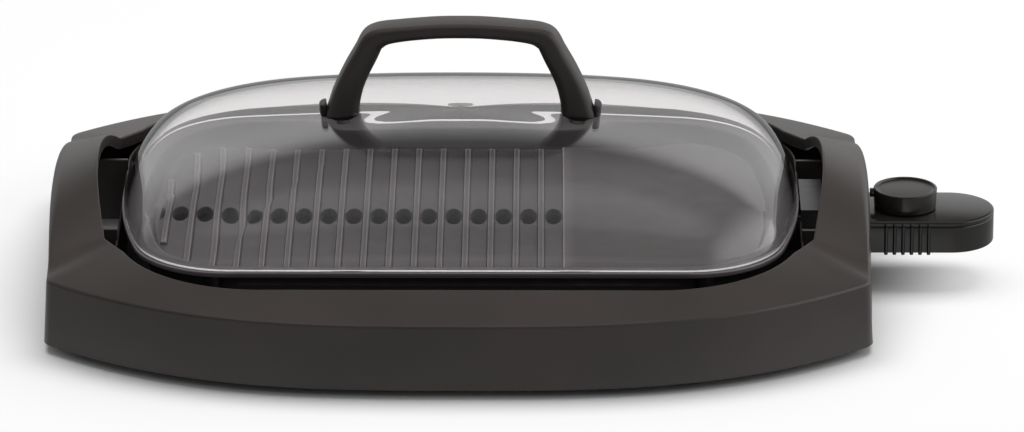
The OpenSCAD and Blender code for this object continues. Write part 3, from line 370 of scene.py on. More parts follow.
def shade(hex_colour, factor):
    """Hex colour made lighter or darker."""
    s = [min(255, max(0, round(int(hex_colour[i:i + 2], 16) * factor))) for i in (1, 3, 5)]
    return "#%02x%02x%02x" % tuple(s)


def moulded_plastic(name, colour, roughness, grain_depth=0.012):
    """Injection-moulded polypropylene or phenolic: spark-eroded tools leave a fine even grain,
    so highlights are broad and soft. The real grain is about 0.3 mm; it is drawn at 1.2 mm."""
    material, tree, shader, place = new_material(name)
    fine = grain(tree, place, 1.2)
    cloud = grain(tree, place, 60.0)
    tree.links.new(tint(tree, cloud, shade(colour, 0.95), shade(colour, 1.05)), shader.inputs["Base Color"])
    tree.links.new(spread(tree, fine, roughness - 0.05, roughness + 0.05), shader.inputs["Roughness"])
    shader.inputs["IOR"].default_value = 1.49
    bump(tree, shader, fine, grain_depth)
    return material


def gloss_plastic(name, colour, roughness):
    """Polished ABS: near mirror-smooth, with a faint ripple from cooling, about 8 mm wide, that
    softens long reflections."""
    material, tree, shader, place = new_material(name)
    ripple = grain(tree, place, 8.0, 1.0)
    tree.links.new(tint(tree, ripple, shade(colour, 0.95), shade(colour, 1.05)), shader.inputs["Base Color"])
    tree.links.new(spread(tree, grain(tree, place, 2.0), roughness - 0.03, roughness + 0.04),
                   shader.inputs["Roughness"])
    shader.inputs["IOR"].default_value = 1.53
    bump(tree, shader, ripple, 0.01)
    return material


def nonstick_coating(name, colour):
    """Sprayed and baked PTFE on cast aluminium: a satin grey with fine mineral flecks about
    0.5 mm across, drawn at 1.5 mm, over the slight waviness of the casting. Raised edges carry
    a painted highlight: they are painted much lighter than the coat."""
    material, tree, shader, place = new_material(name)
    flecks = add_node(tree, "ShaderNodeTexVoronoi", {"feature": "F1"}, Vector=place, Scale=1000.0 / 1.5)
    sparse = add_node(tree, "ShaderNodeMapRange", None, Value=flecks.outputs["Distance"],
                      From_Min=0.0, From_Max=0.35, To_Min=1.0, To_Max=0.0).outputs["Result"]
    floor = PAN_FLOOR * 0.001
    height = add_node(tree, "ShaderNodeSeparateXYZ", None, Vector=place).outputs["Z"]
    # mask of the raised edges, the ribs' tops above all, where the painted highlight goes
    raised = smooth(tree, height, floor + 0.0008, floor + 0.0018)
    pointed = smooth(tree, add_node(tree, "ShaderNodeNewGeometry").outputs["Pointiness"], 0.51, 0.58)
    edges = node_math(tree, "MULTIPLY", raised, pointed)
    # painted highlight: the raised edges take a colour 2.4 times lighter than the coat
    painted_highlight = add_node(tree, "ShaderNodeMix", {"data_type": "RGBA"}, _0=edges,
                    _6=tint(tree, sparse, colour, shade(colour, 1.25)), _7=linear(shade(colour, 2.4)))
    tree.links.new(painted_highlight.outputs[2], shader.inputs["Base Color"])
    wave = grain(tree, place, 14.0)
    tree.links.new(spread(tree, wave, 0.34, 0.46), shader.inputs["Roughness"])
    shader.inputs["IOR"].default_value = 1.5
    bump(tree, shader, grain(tree, place, 1.5), 0.02)
    return material


def tempered_glass(name):
    """Clear tempered soda-lime glass: fire-polished and colourless, with a very slight wave
    from the mould, about 90 mm long, that bends reflections. Light passes straight through to
    what it covers."""
    material, tree, shader, place = new_material(name)
    path = add_node(tree, "ShaderNodeLightPath").outputs
    lighting = node_math(tree, "MAXIMUM", path["Is Shadow Ray"], path["Is Diffuse Ray"])
    tree.links.new(node_math(tree, "SUBTRACT", 1.0, lighting), shader.inputs["Alpha"])
    shader.inputs["Base Color"].default_value = linear("#f9f7f7")
    shader.inputs["Transmission Weight"].default_value = 1.0
    shader.inputs["Roughness"].default_value = 0.0
    shader.inputs["IOR"].default_value = 1.5
    bump(tree, shader, grain(tree, place, 90.0, 0.0), 0.05)
    return material


def bare_metal(name, colour, roughness):
    """Rolled or drawn metal: satin, with faint streaks along X. The real ones are about 0.4 mm
    wide, and are drawn at 0.8 mm so that they show."""
    material, tree, shader, place = new_material(name)
    stretched = add_node(tree, "ShaderNodeMapping", None, Vector=place, Scale=(0.06, 1.0, 1.0))
    streaks = grain(tree, stretched.outputs["Vector"], 0.8)
    shader.inputs["Metallic"].default_value = 1.0
    tree.links.new(tint(tree, streaks, shade(colour, 0.9), shade(colour, 1.08)), shader.inputs["Base Color"])
    tree.links.new(spread(tree, streaks, roughness - 0.06, roughness + 0.08), shader.inputs["Roughness"])
    bump(tree, shader, streaks, 0.006)
    return material


def soft_rubber(name, colour):
    """Moulded rubber: matt, with a bloom of about 5 mm patches."""
    material, tree, shader, place = new_material(name)
    bloom = grain(tree, place, 5.0)
    tree.links.new(tint(tree, bloom, shade(colour, 0.85), shade(colour, 1.2)), shader.inputs["Base Color"])
    tree.links.new(spread(tree, bloom, 0.7, 0.85), shader.inputs["Roughness"])
    bump(tree, shader, grain(tree, place, 1.0), 0.015)
    return material


def fired_ceramic(name):
    """Unglazed steatite: off-white and matt, with a fine sandy grain."""
    material, tree, shader, place = new_material(name)
    sand = grain(tree, place, 1.0)
    tree.links.new(tint(tree, sand, "#c9c1b1", "#ddd6c8"), shader.inputs["Base Color"])
    tree.links.new(spread(tree, sand, 0.55, 0.75), shader.inputs["Roughness"])
    bump(tree, shader, sand, 0.02)
    return material


def lamp_lens(name):
    """Translucent red polycarbonate."""
    material, tree, shader, place = new_material(name)
    cloud = grain(tree, place, 3.0)
    tree.links.new(tint(tree, cloud, "#5c1710", "#7a2216"), shader.inputs["Base Color"])
    tree.links.new(spread(tree, cloud, 0.12, 0.22), shader.inputs["Roughness"])
    shader.inputs["IOR"].default_value = 1.58
    return material


FINISHES = {}


def finishes():
    """All finishes by name, made once."""
    if not FINISHES:
        c = colours()
        FINISHES.update({
            "body": moulded_plastic("satin_moulded_plastic", c.body, 0.36),
            "handle": moulded_plastic("satin_phenolic", shade(c.body, 0.9), 0.36),
            "floor": moulded_plastic("matt_black_plastic", "#1b1a1a", 0.6),
            "support": moulded_plastic("phenolic_resin", "#181818", 0.5),
            "plate": nonstick_coating("nonstick_coating", c.plate),
            "glass": tempered_glass("tempered_glass"),
            "case": gloss_plastic("polished_abs", c.case, 0.12),
            "knob": gloss_plastic("polished_abs_knob", c.case, 0.16),
            "knob_face": moulded_plastic("satin_knob_face", shade(c.case, 1.3), 0.3, 0.004),
            "pad": moulded_plastic("moulded_pad", "#141313", 0.35),
            "steel": bare_metal("zinc_plated_steel", c.metal, 0.34),
            "shroud": bare_metal("satin_sheet_steel", "#8d8c8c", 0.42),
            "tray": moulded_plastic("heat_proof_plastic", "#161616", 0.5),
            "element": bare_metal("heat_dulled_steel", "#6f6a66", 0.45),
            "brass": bare_metal("drawn_brass", "#b08d4a", 0.3),
            "rubber": soft_rubber("moulded_rubber", c.rubber),
            "ceramic": fired_ceramic("steatite"),
            "lens": lamp_lens("red_polycarbonate"),
        })
    return FINISHES


def dress(piece, finish, body, slot, *nodes):
    """Gives a new piece its finish and its body, and hides the solid that it stands for, if any; its slot is
    not used.
    """
    piece.data.materials.append(finishes()[finish])
    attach(piece, body)
    if nodes:
        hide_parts(*nodes)


# ---------------------------------------------------------------- base housing


class BasePlan:
    """Plan of the base. The front edge is y = depth - sweep (|x| / sweep_x)^3, and meets the
    corner's arc where both have the same slope."""

    def __init__(self):
        s = sizes()
        self.radius, self.sweep = s.corner_radius, s.edge_sweep
        self.side = BASE_HIGH[0] - s.grip_bow - s.apron_draft
        self.depth = BASE_HIGH[1] - s.apron_draft
        self.corner = math.atan(self.side / (3 * self.sweep))
        self.sweep_x = self.side - self.radius * (1 - math.cos(self.corner))
        self.corner_y = self.edge(self.sweep_x) - self.radius * math.sin(self.corner)

    def edge(self, x):
        """Half depth of the base at x."""
        return self.depth - self.sweep * (abs(x) / self.sweep_x) ** 3

    def arc(self, a):
        """Points on the corner's arc, from the side at angle 0."""
        return np.stack([self.side - self.radius * (1 - np.cos(a)),
                         self.corner_y + self.radius * np.sin(a)], 1)


# a grip: half the length of its outer and inner edges, then, each from the grip's middle to its
# end, the X of its inner edge, the heights of both edges over the apron's top, and the radius of
# the outer edge, which goes on round the base
GRIP_OUTER = 103.0
GRIP_INNER = 92.5
GRIP_INNER_X = (225.5, 217.0)
GRIP_OUTER_RISE = (25.0, 5.7)
GRIP_INNER_RISE = (36.5, 12.7)
GRIP_EDGE_RADIUS = (6.0, 2.0)
EDGE_RADIUS = GRIP_EDGE_RADIUS[1]

# where the crease leaves the grip for the well's corner, as an angle on that corner, and where
# the stations of the front stop bending with it
CREASE_LEAVES = math.radians(21)
FRONT_X = 140.0


def deck_stations():
    """Stations round the moulding, each with its outer and inner point in plan, the heights of
    both and the radius of its outer edge. The first quarter runs from the middle of the right
    grip to the middle of the back, and is mirrored. Along a grip the bow, the heights and the
    edge's radius go with the square of the way; along the crease and the bend the inner edge
    sinks to the deck with the square of what is left of the way."""
    s = sizes()
    plan = BasePlan()
    top = s.apron_top
    deck = top + s.deck_rise
    crease_rise, share = GRIP_INNER_RISE[1] - s.deck_rise, 0.2

    k = np.union1d(np.linspace(0, 1, 31), [SLOT_HALF / GRIP_OUTER])
    grip = np.stack([plan.side + s.grip_bow * (1 - k ** 2), GRIP_OUTER * k,
                     mix(*GRIP_INNER_X, k ** 2), GRIP_INNER * k,
                     top + mix(*GRIP_OUTER_RISE, k ** 2), top + mix(*GRIP_INNER_RISE, k ** 2),
                     mix(*GRIP_EDGE_RADIUS, k ** 2)], 1)
    # three sevenths of the crease's stations are on the side, the rest on the corner's arc
    k = np.linspace(0, 1, 29)[1:]
    t = np.clip(k * 7 / 3, 0, 1)
    side = np.stack([np.full_like(k, plan.side), mix(GRIP_OUTER, plan.corner_y, t)], 1)
    outer = np.where(t[:, None] < 1, side, plan.arc(plan.corner * np.clip((k * 7 - 3) / 4, 0, 1)))
    crease = np.column_stack([
        outer, mix(GRIP_INNER_X[1], WELL_X + WELL_RADIUS * math.cos(CREASE_LEAVES), k),
        mix(GRIP_INNER, WELL_Y + WELL_RADIUS * math.sin(CREASE_LEAVES), k),
        top + GRIP_OUTER_RISE[1] * (1 - t) ** 2, deck + crease_rise * (1 - share * k) ** 2,
        np.full_like(k, EDGE_RADIUS)])
    k = np.linspace(0, 1, 46)[1:]
    x, a = mix(plan.sweep_x, FRONT_X, k), mix(CREASE_LEAVES, math.pi / 2, k)
    bend = np.stack([x, plan.edge(x), WELL_X + WELL_RADIUS * np.cos(a), WELL_Y + WELL_RADIUS * np.sin(a),
                     np.full_like(k, top), deck + crease_rise * (1 - mix(share, 1, k)) ** 2,
                     np.full_like(k, EDGE_RADIUS)], 1)
    k = np.linspace(0, 1, 13)[1:]
    x = FRONT_X * (1 - k)
    front = np.stack([x, plan.edge(x), WELL_X * (1 - k), np.full_like(k, WELL_Y + WELL_RADIUS),
                      np.full_like(k, top), np.full_like(k, deck), np.full_like(k, EDGE_RADIUS)], 1)
    return mirrored_quarters(np.concatenate([grip, crease, bend, front]), (0, 2), (1, 3))


def bend_over(a, corner, b, steps):
    """Parabola from a to b that leaves both along the lines to the corner; arrays of stations."""
    t = np.linspace(0, 1, steps + 1)[:, None, None]
    return (1 - t) ** 2 * a + 2 * t * (1 - t) * corner + t ** 2 * b


def window(shape, rings, row_low, row_high, inner_low, inner_high, columns):
    """Skin over closed sections (rows, columns, 3) that leaves a window out of both walls
    between the given rows and columns, and gives the window its four sides."""
    rows, cols = rings.shape[:2]
    faces = grid_faces(rows, cols, wrap_rows=True, wrap_cols=True)
    row, col = faces[:, 0] // cols, faces[:, 0] % cols
    inside = np.isin(col, columns)
    cut = inside & (((row >= row_low) & (row < row_high)) | ((row >= inner_low) & (row < inner_high)))
    faces = faces[~cut].tolist()
    ends = [columns[0], (columns[-1] + 1) % cols]
    across = [*columns, ends[1]]
    for a, b in ((row_low, inner_high), (row_high, inner_low)):
        faces += [[a * cols + c, a * cols + d, b * cols + d, b * cols + c]
                  for c, d in zip(across, across[1:])]
    rim = (*range(row_low, row_high + 1), *range(inner_low, inner_high + 1))
    faces += [[r * cols + c for r in rim] for c in ends]
    shape.add(rings, faces)


def moulded_ring(shape):
    """Apron, rounded edge, deck, rolled lip and their inner faces, as one closed section at
    every station; lines across the deck are straight. The right apron has the slot for the
    controller."""
    s = sizes()
    st = deck_stations()
    outer, inner = st[:, 0:2], st[:, 2:4]
    zo, zi, r = st[:, 4], st[:, 5], st[:, 6]
    span = np.linalg.norm(inner - outer, axis=1)
    n = (inner - outer) / span[:, None]
    slope = (zi - zo) / span

    def at(base, d, z):
        d = np.broadcast_to(d, zo.shape)
        return np.column_stack([base + n * d[:, None], np.broadcast_to(z, zo.shape)])

    w, in_r = s.wall, 1.6
    edge_low = zo - r
    slot_low = np.full_like(zo, SLOT_LOW)
    slot_high = np.minimum(SLOT_HIGH, edge_low - 0.6)
    in_high = np.minimum(SLOT_HIGH, zo - w - r - 0.6)
    edge = bend_over(at(outer, 0, edge_low), at(outer, 0, zo), at(outer, r, zo + slope * r), 9)
    roll = bend_over(at(inner, -in_r, zi - slope * in_r), at(inner, 0, zi), at(inner, 0, zi - in_r), 7)
    foot = BASE_LOW[2]

    def draft(z):
        return -s.apron_draft * np.clip((edge_low - z) / (edge_low - foot), 0, 1)

    rows = [at(outer, 0.5 + draft(foot), foot), at(outer, draft(foot + 0.5), foot + 0.5),
            at(outer, draft(slot_low), slot_low), at(outer, draft(slot_high), slot_high), *edge, *roll,
            at(inner, 0, zi - s.lip + 0.6), at(inner, -0.6, zi - s.lip), at(inner, -w, zi - s.lip),
            at(inner, -w, zi - w - slope * w), at(outer, w + r * 0.4, zo - w + slope * w),
            at(outer, w, zo - w - r), at(outer, w + draft(in_high), in_high),
            at(outer, w + draft(slot_low), slot_low), at(outer, w + draft(foot), foot)]
    rings = np.array(rows)
    count = len(rows)
    slot = np.abs(outer[:, 1]) <= SLOT_HALF + 1e-6
    slot &= outer[:, 0] > 0
    columns = [c for c in range(len(st)) if slot[c] and slot[(c + 1) % len(st)]]
    start = next(c for c in columns if (c - 1) % len(st) not in columns)
    columns = [(start + i) % len(st) for i in range(len(columns))]
    # outside, the slot's sill and head are rows 2 and 3; inside, its head comes before its sill
    window(shape, rings, 2, 3, count - 3, count - 2, columns)


def rounded_rect(half_x, half_y, radius, stop):
    """Rounded rectangle from the middle of its right side, with extra points on the two short
    sides at the stop above and below the middle."""
    a = np.linspace(0, np.pi / 2, 25)
    side = np.array([[half_x, 0.0], [half_x, stop]])
    arc = np.stack([half_x - radius + radius * np.cos(a), half_y - radius + radius * np.sin(a)], 1)
    return mirrored_quarters(np.concatenate([side, arc, [[0.0, half_y]]]))


def well_wall(shape):
    """Thin wall round the well with a rounded top, notched on the right for the terminals."""
    gap, thick = 0.6, 1.5
    radius = WELL_RADIUS + gap
    half_x, half_y = WELL_X + radius, WELL_Y + radius
    notch, low, high, cut = 29.7, 8.5, 47.5, 23.6
    inner = rounded_rect(half_x, half_y, radius, notch)
    outer = rounded_rect(half_x + thick, half_y + thick, radius + thick, notch)

    def ring(t, z):
        return level_ring(mix(inner, outer, t), z)

    rings = np.array([ring(1, low), ring(1, cut), ring(1, high - 1), ring(0.85, high - 0.3), ring(0.5, high),
                      ring(0.15, high - 0.3), ring(0, high - 1), ring(0, cut), ring(0, low)])
    rows, cols = rings.shape[:2]
    faces = grid_faces(rows, cols, wrap_rows=True, wrap_cols=True)
    row, col = faces[:, 0] // cols, faces[:, 0] % cols
    # rows of points at the notch's foot, on the outer and the inner face
    outside, inside = 1, 7
    within = (np.abs(outer[:, 1]) <= notch + 1e-6) & (outer[:, 0] > 0)
    gone = within & np.roll(within, -1)
    faces = faces[~(gone[col] & (row >= outside) & (row < inside))].tolist()
    columns = [c for c in range(cols) if gone[c]]
    faces += [[outside * cols + c, outside * cols + (c + 1) % cols, inside * cols + (c + 1) % cols,
               inside * cols + c] for c in columns]
    start = next(c for c in columns if (c - 1) % cols not in columns)
    end = next((c + 1) % cols for c in columns if (c + 1) % cols not in columns)
    faces += [[r * cols + c for r in range(outside, inside + 1)] for c in (start, end)]
    shape.add(rings, faces)


def make_housing():
    """The whole base moulding: ring, well wall, ribs, stiffeners and screw bosses."""
    plan = BasePlan()
    shape = Shape()
    moulded_ring(shape)
    well_wall(shape)
    web, stiffener, pitch, bore = 1.5, 1.2, 72.0, 1.5
    boss = [(bore, 8.5), (4.5, 8.5), (4.5, 42.0), (0, 42.0), (0, 24.5), (bore, 24.5), (bore, 8.5)]
    for side in (-1, 1):
        for y in (-64.0, 64.0):
            x = sorted((side * 211.0, side * 251.5))
            shape.block((x[0], y - web, 14.5), (x[1], y + web, 54.3), 0.5)
    for side in (-1, 1):
        for x in pitch * np.arange(-2, 3):
            corner = max(0, abs(x) - WELL_X)
            well_y = WELL_Y + math.sqrt(WELL_RADIUS ** 2 - corner ** 2) + 1.5
            y = sorted((side * well_y, side * (plan.edge(x) - 1.0)))
            shape.block((x - stiffener, y[0], 12.5), (x + stiffener, y[1], 43.0), 0.3)
        for x in pitch * (np.arange(4) - 1.5):
            shape.lathe(boss, (x, side * 175.6), 24)
    dress(shape.finish("base_moulding", 12.0), "body", "base", "body_plastic", "base_housing")


# ---------------------------------------------------------------- plate


# the flat half starts at this X; the fillet round the pan's floor ends this far inside the rim
FLAT_FROM = 64.0
FLOOR_IN = 20.5


def rim_quarter():
    """Quarter of the lid's rim: the bowed side x = half width - bow (y/y1)^n, a round corner of
    60 mm, and a straight front."""
    radius, flat, a0 = 60.0, 140.0, math.radians(14)
    cy = RIM_Y - radius
    x1, y1 = flat + radius * math.cos(a0), cy + radius * math.sin(a0)
    power = math.tan(a0) * y1 / (RIM_X - x1)
    k = np.linspace(0, 1, 25)[:-1]
    side = np.stack([RIM_X - (RIM_X - x1) * k ** power, y1 * k], 1)
    a = np.linspace(a0, math.pi / 2, 33)
    corner = np.stack([flat + radius * np.cos(a), cy + radius * np.sin(a)], 1)
    k = np.linspace(0, 1, 17)[1:]
    front = np.stack([flat * (1 - k), np.full_like(k, RIM_Y)], 1)
    return np.concatenate([side, corner, front])


def rim_scale(drawn_in):
    """Factors in X and Y that draw the rim's outline in by that much at the four axes."""
    return np.array([1 - drawn_in / RIM_X, 1 - drawn_in / RIM_Y])


def rim_line(drawn_in=0.0):
    """The rim's outline, drawn in by the same amount at the four axes."""
    return mirrored_quarters(rim_quarter()) * rim_scale(drawn_in)


def ellipse(x, width, length):
    """Counter-clockwise oval slot with its middle at x on the X axis and its length along Y."""
    a = np.linspace(0, 2 * np.pi, 32, endpoint=False)
    return np.stack([x + width / 2 * np.cos(a), length / 2 * np.sin(a)], 1)


def flat_with_holes(shape, outline, holes, z):
    """Flat face at height z inside the outline and outside the holes, as triangles."""
    points, faces, start = [], [], 0
    for loop in (outline, *holes):
        points += [Vector(p) for p in loop]
        faces.append(list(range(start, start + len(loop))))
        start += len(loop)
    verts, _, found, _, _, origin = delaunay_2d_cdt(points, [], faces, 1, 1e-6)
    # only the triangles that come from the outline's face and from none of the holes'
    keep = [list(f) for f, o in zip(found, origin) if 0 in o and len(o) == 1]
    shape.add([(v[0], v[1], z) for v in verts], keep)


def slot_centres():
    """X of the 17 drain slots, from beside the flat half to the left."""
    return FLAT_FROM - 6.0 - sizes().slot_pitch * np.arange(17)


def make_plate():
    """Plate: a section of flange, sloping wall and fillet carried round the rim's outline, a
    floor with drain slots, tapered ribs with rounded tops, and the raised flat half."""
    s = sizes()
    shape = Shape()
    bottom, top, floor, skirt = PAN_UNDER, PLATE_HIGH[2], PAN_FLOOR, 10.0
    flange = [(skirt, bottom), (skirt, top - 4.5), (9.0, top - 3.5), (-0.4, top - 3.5), (-0.8, top - 3.2),
              (-1.0, top - 2.6), (-1.0, top - 0.9), (-0.8, top - 0.35), (-0.4, top - 0.1), (0.2, top),
              (11.6, top), (12.4, top - 0.15), (13.1, top - 0.6), (13.6, top - 1.3)]
    fillet = [(16.4, floor + 3.6), (17.0, floor + 2.0), (17.9, floor + 0.8), (19.2, floor + 0.15),
              (FLOOR_IN, floor)]
    shape.tube([level_ring(rim_line(d), z) for d, z in flange + fillet], ends=False)

    width, length, rounding = 10.2, 27.0, 0.6
    holes = [ellipse(x, width, length) for x in slot_centres()]
    rounded = [ellipse(x, width + 2 * rounding, length + 2 * rounding) for x in slot_centres()]
    flat_with_holes(shape, rim_line(FLOOR_IN), rounded, floor)
    flat_with_holes(shape, rim_line(skirt), holes, bottom)
    for small, wide in zip(holes, rounded):
        layers = ((wide, floor), (mix(small, wide, 0.3), floor - 0.18), (small, floor - 0.7), (small, bottom))
        shape.tube([level_ring(hole, z) for hole, z in layers], ends=False)
    for x in slot_centres()[:-1] - s.slot_pitch / 2:
        make_rib(shape, x, floor)

    outline = rim_line(18.6)
    right = outline[outline[:, 0] > FLAT_FROM]
    order = np.argsort(np.arctan2(right[:, 1], right[:, 0]))
    ends = [[FLAT_FROM, right[:, 1].max()], [FLAT_FROM, right[:, 1].min()]]
    shape.prism(np.concatenate([right[order], ends]), floor - 0.5, floor + s.rib_height, 0.9, 4)
    # boss under the plate for the probe
    shape.block((149.0, -8.0, PLATE_LOW[2]), (199.0, 8.0, bottom + 0.5), 0.6)
    dress(shape.finish("cooking_plate", 22.0), "plate", "base", "plate_coating", "grill_plate")


def rib_reach(x):
    """Half length of the rib at x: up to the fillet round the floor, but short at the far left."""
    fillet_in, last_x, short = 19.0, -180, 56.0
    line = rim_quarter() * rim_scale(fillet_in)
    return short if x < last_x else float(np.interp(abs(x), line[::-1, 0], line[::-1, 1]))


def make_rib(shape, x, floor):
    """One searing rib: a rounded trapezium carried along Y. Its height over the floor is scaled
    by a quarter circle over the last 7 mm, so that both ends come down round."""
    half, end = rib_reach(x), 7
    turn = end * (1 - np.cos(np.linspace(0, np.pi / 2, 6)))
    y = np.concatenate([-half + turn, np.linspace(-half + 9, half - 9, 20), half - turn[::-1]])
    rise = np.sqrt(np.clip(1 - np.clip((np.abs(y) - half + end) / end, 0, 1) ** 2, 0.0, 1))
    h = sizes().rib_height
    profile = np.array([[-2.6, -0.4], [-2.5, 0.0], [-1.95, h - 0.75], [-1.7, h - 0.25], [-1.2, h], [0, h],
                        [1.2, h], [1.7, h - 0.25], [1.95, h - 0.75], [2.5, 0.0], [2.6, -0.4]])
    z = np.where(profile[None, :, 1] > 0, profile[None, :, 1] * rise[:, None], profile[None, :, 1])
    shape.tube(np.stack([np.broadcast_to(x + profile[:, 0], z.shape),
                         np.broadcast_to(y[:, None], z.shape), floor + z], -1))


# ---------------------------------------------------------------- lid


def dome_ring(r, drawn_in, z, height):
    """Ring at level r of the dome, 1 at the rim and 0 at the crown. Its plan is the rim's
    outline at the rim and softens to a superellipse inwards; its height follows
    z + height (1 - r^n)^(1/n), where n grows from the sides to the front and the back."""
    s = sizes()
    line = rim_line()
    u, v = np.abs(line[:, 0]) / RIM_X, np.abs(line[:, 1]) / RIM_Y
    f = r * mix((u ** CROWN_POWER + v ** CROWN_POWER) ** (-1 / CROWN_POWER), 1.0, r ** 6)
    n = mix(s.dome_across, s.dome_along, v ** 2 / (u ** 2 + v ** 2))
    h = z + height * np.maximum(0.0, 1 - r ** n) ** (1 / n)
    return np.column_stack([line * f[:, None] * rim_scale(drawn_in), h])


def make_dome():
    """Glass dome: an inner skin, which is the outer one drawn in and lowered by the glass's
    thickness, the rounded rim and the outer skin, as rings from the inner crown to the outer."""
    s = sizes()
    glass, rim, line_z = s.glass, GLASS_FOOT, GLASS_FOOT + LINE_OVER_RIM
    levels = np.sin(np.linspace(0, np.pi / 2, 44)) ** 0.9
    levels[0] = 1e-4
    inner_height = s.dome_height + line_z - rim - glass
    edge = [(glass, rim + 2.2), (glass - 0.1, rim + 0.9), (glass - 0.6, rim + 0.25), (glass - 1.3, rim),
            (1.3, rim), (0.6, rim + 0.25), (0.12, rim + 0.9), (0.0, rim + 2.0)]
    shape = Shape()
    shape.tube([*[dome_ring(r, glass, rim, inner_height) for r in levels[:-2]],
                *[level_ring(rim_line(d), z) for d, z in edge],
                *[dome_ring(r, 0.0, line_z, s.dome_height) for r in levels[-3::-1]]])
    dress(shape.finish("glass_dome", 40.0), "glass", "lid", "lid_glass", "lid_glass")


def glass_top(x):
    """Height of the dome's outside over the X axis."""
    s = sizes()
    share = (1 - (abs(x) / RIM_X) ** s.dome_across) ** (1 / s.dome_across)
    return GLASS_FOOT + LINE_OVER_RIM + s.dome_height * share


def leg_lean():
    """Slope of the glass under a leg, in radians."""
    return math.atan((glass_top(LEG_X - 5) - glass_top(LEG_X + 5)) / 10)


def make_handle():
    """Bridge handle: a rounded section carried along a smooth line up one leg, over the
    shoulders and down the other; each foot is cut to the slope of the glass."""
    top = HANDLE_TOP
    foot = glass_top(LEG_X)
    # from a foot to the middle of the bar: X, height and thickness
    half = np.array([
        [LEG_X, foot, 21.0], [72.4, foot + 4, 19.6], [70.6, foot + 12, 17.9], [67.6, foot + 21, 16.3],
        [63.6, foot + 30, 15.4], [58.6, foot + 39.5, 14.7], [54.6, top - 13.0, 14.2], [50.6, top - 9.9, 12.6],
        [45.6, top - 8.1, 10.6], [38.0, top - 6.9, 9.5], [28.0, top - 5.8, 9.1], [14.0, top - 4.75, 9.0]])
    line = np.concatenate([half, [[0.0, top - 4.5, 9.0]], (half * [-1, 1, 1])[::-1]])
    line = curve_through(line, 6)
    along = np.gradient(line[:, :2], axis=0)
    along[0], along[-1] = (0, 1), (0, -1)
    along /= np.linalg.norm(along, axis=1, keepdims=True)
    across = np.stack([-along[:, 1], along[:, 0]], 1)
    thick = line[:, 2]
    # rounded section: quarter circles whose radius grows with the thickness of the bar
    a = np.linspace(0, np.pi / 2, 7)
    corners = [(1, 1, a), (-1, 1, a + np.pi / 2), (-1, -1, a + np.pi), (1, -1, a + 3 * np.pi / 2)]
    radius = np.clip(thick * 0.36, 3.2, 5.5)[:, None]
    half_depth, half_thick = 11.5 - radius, thick[:, None] / 2 - radius
    u = np.concatenate([c * half_depth + radius * np.cos(turn) for c, _, turn in corners], 1)
    v = np.concatenate([c * half_thick + radius * np.sin(turn) for _, c, turn in corners], 1)
    rings = np.stack([line[:, :1] + across[:, :1] * v, u, line[:, 1:2] + across[:, 1:] * v], -1)
    # both end rings lie on the pad; the six next to them stay a little above it
    lean, pad = math.tan(leg_lean()), 1.2
    for i in range(7):
        for index, side in ((i, 1), (-1 - i, -1)):
            ring = rings[index]
            level = foot + pad + i * 0.25 - (ring[:, 0] * side - LEG_X) * lean
            ring[:, 2] = np.maximum(ring[:, 2], level) if i else level
    shape = Shape()
    shape.tube(rings)
    dress(shape.finish("bridge_handle", 30.0), "handle", "lid", "handle_plastic", "lid_handle")


def make_handle_pads():
    """Pads under the legs: a thin rounded sole and a half-round toe that stands up outside."""
    foot = glass_top(LEG_X)
    lean = leg_lean()
    half_x, half_y, under = 10.2, 11.2, 0.15
    for side, node in ((-1, "handle_pad_left"), (1, "handle_pad_right")):
        shape = Shape()
        sole = np.array([[-half_x, -half_y], [half_x, -half_y], [half_x, half_y], [-half_x, half_y]])
        shape.prism(round_corners(sole, 4.0, 6), under, 1.3, 0.3, 3)
        a = np.linspace(-np.pi / 2, np.pi / 2, 25)
        toe = np.stack([9.9 + 4.4 * np.cos(a) ** 0.7, 7.4 * np.sin(a)], 1)
        shape.prism(toe, under, 7.9, 0.9, 5)
        points = np.concatenate(shape.points)
        x = points[:, 0] * math.cos(lean) + points[:, 2] * math.sin(lean)
        z = -points[:, 0] * math.sin(lean) + points[:, 2] * math.cos(lean)
        shape.points = [np.column_stack([side * (LEG_X + x), points[:, 1], foot + z])]
        dress(shape.finish("%s_piece" % node, 30.0), "pad", "lid", "pad_rubber", node)


# ---------------------------------------------------------------- controller and knob


def case_outline():
    """Controller in plan: narrow nose, wider body and a half-round end."""
    r, end = CASE_HALF, CASE_HIGH[0] - CASE_HALF
    a = np.linspace(-np.pi / 2, np.pi / 2, 49)
    arc = np.stack([end + r * np.cos(a), r * np.sin(a)], 1)
    body_x, nose_x, nose = 240.0, CASE_LOW[0], 24.0
    rest = [[body_x, r], [body_x, nose], [nose_x, nose], [nose_x, -nose], [body_x, -nose], [body_x, -r]]
    return np.concatenate([arc, rest])


def finger_ridges(shape, low, high, dome):
    """Six half-round ridges on each side of the case, between two heights, with domed tops."""
    radius, middle, pitch, count = 1.2, 278.0, 5.3, 6
    t = np.linspace(0, np.pi / 2, 5)
    cap = np.stack([radius * np.cos(t), high - dome * (1 - np.sin(t))], 1)
    profile = np.concatenate([[[0, low], [1.0, low], [radius, low + 0.2]], cap])
    for side in (-1, 1):
        for x in middle + pitch * (np.arange(count) - (count - 1) / 2):
            shape.lathe(profile, (x, side * CASE_HALF), 20)


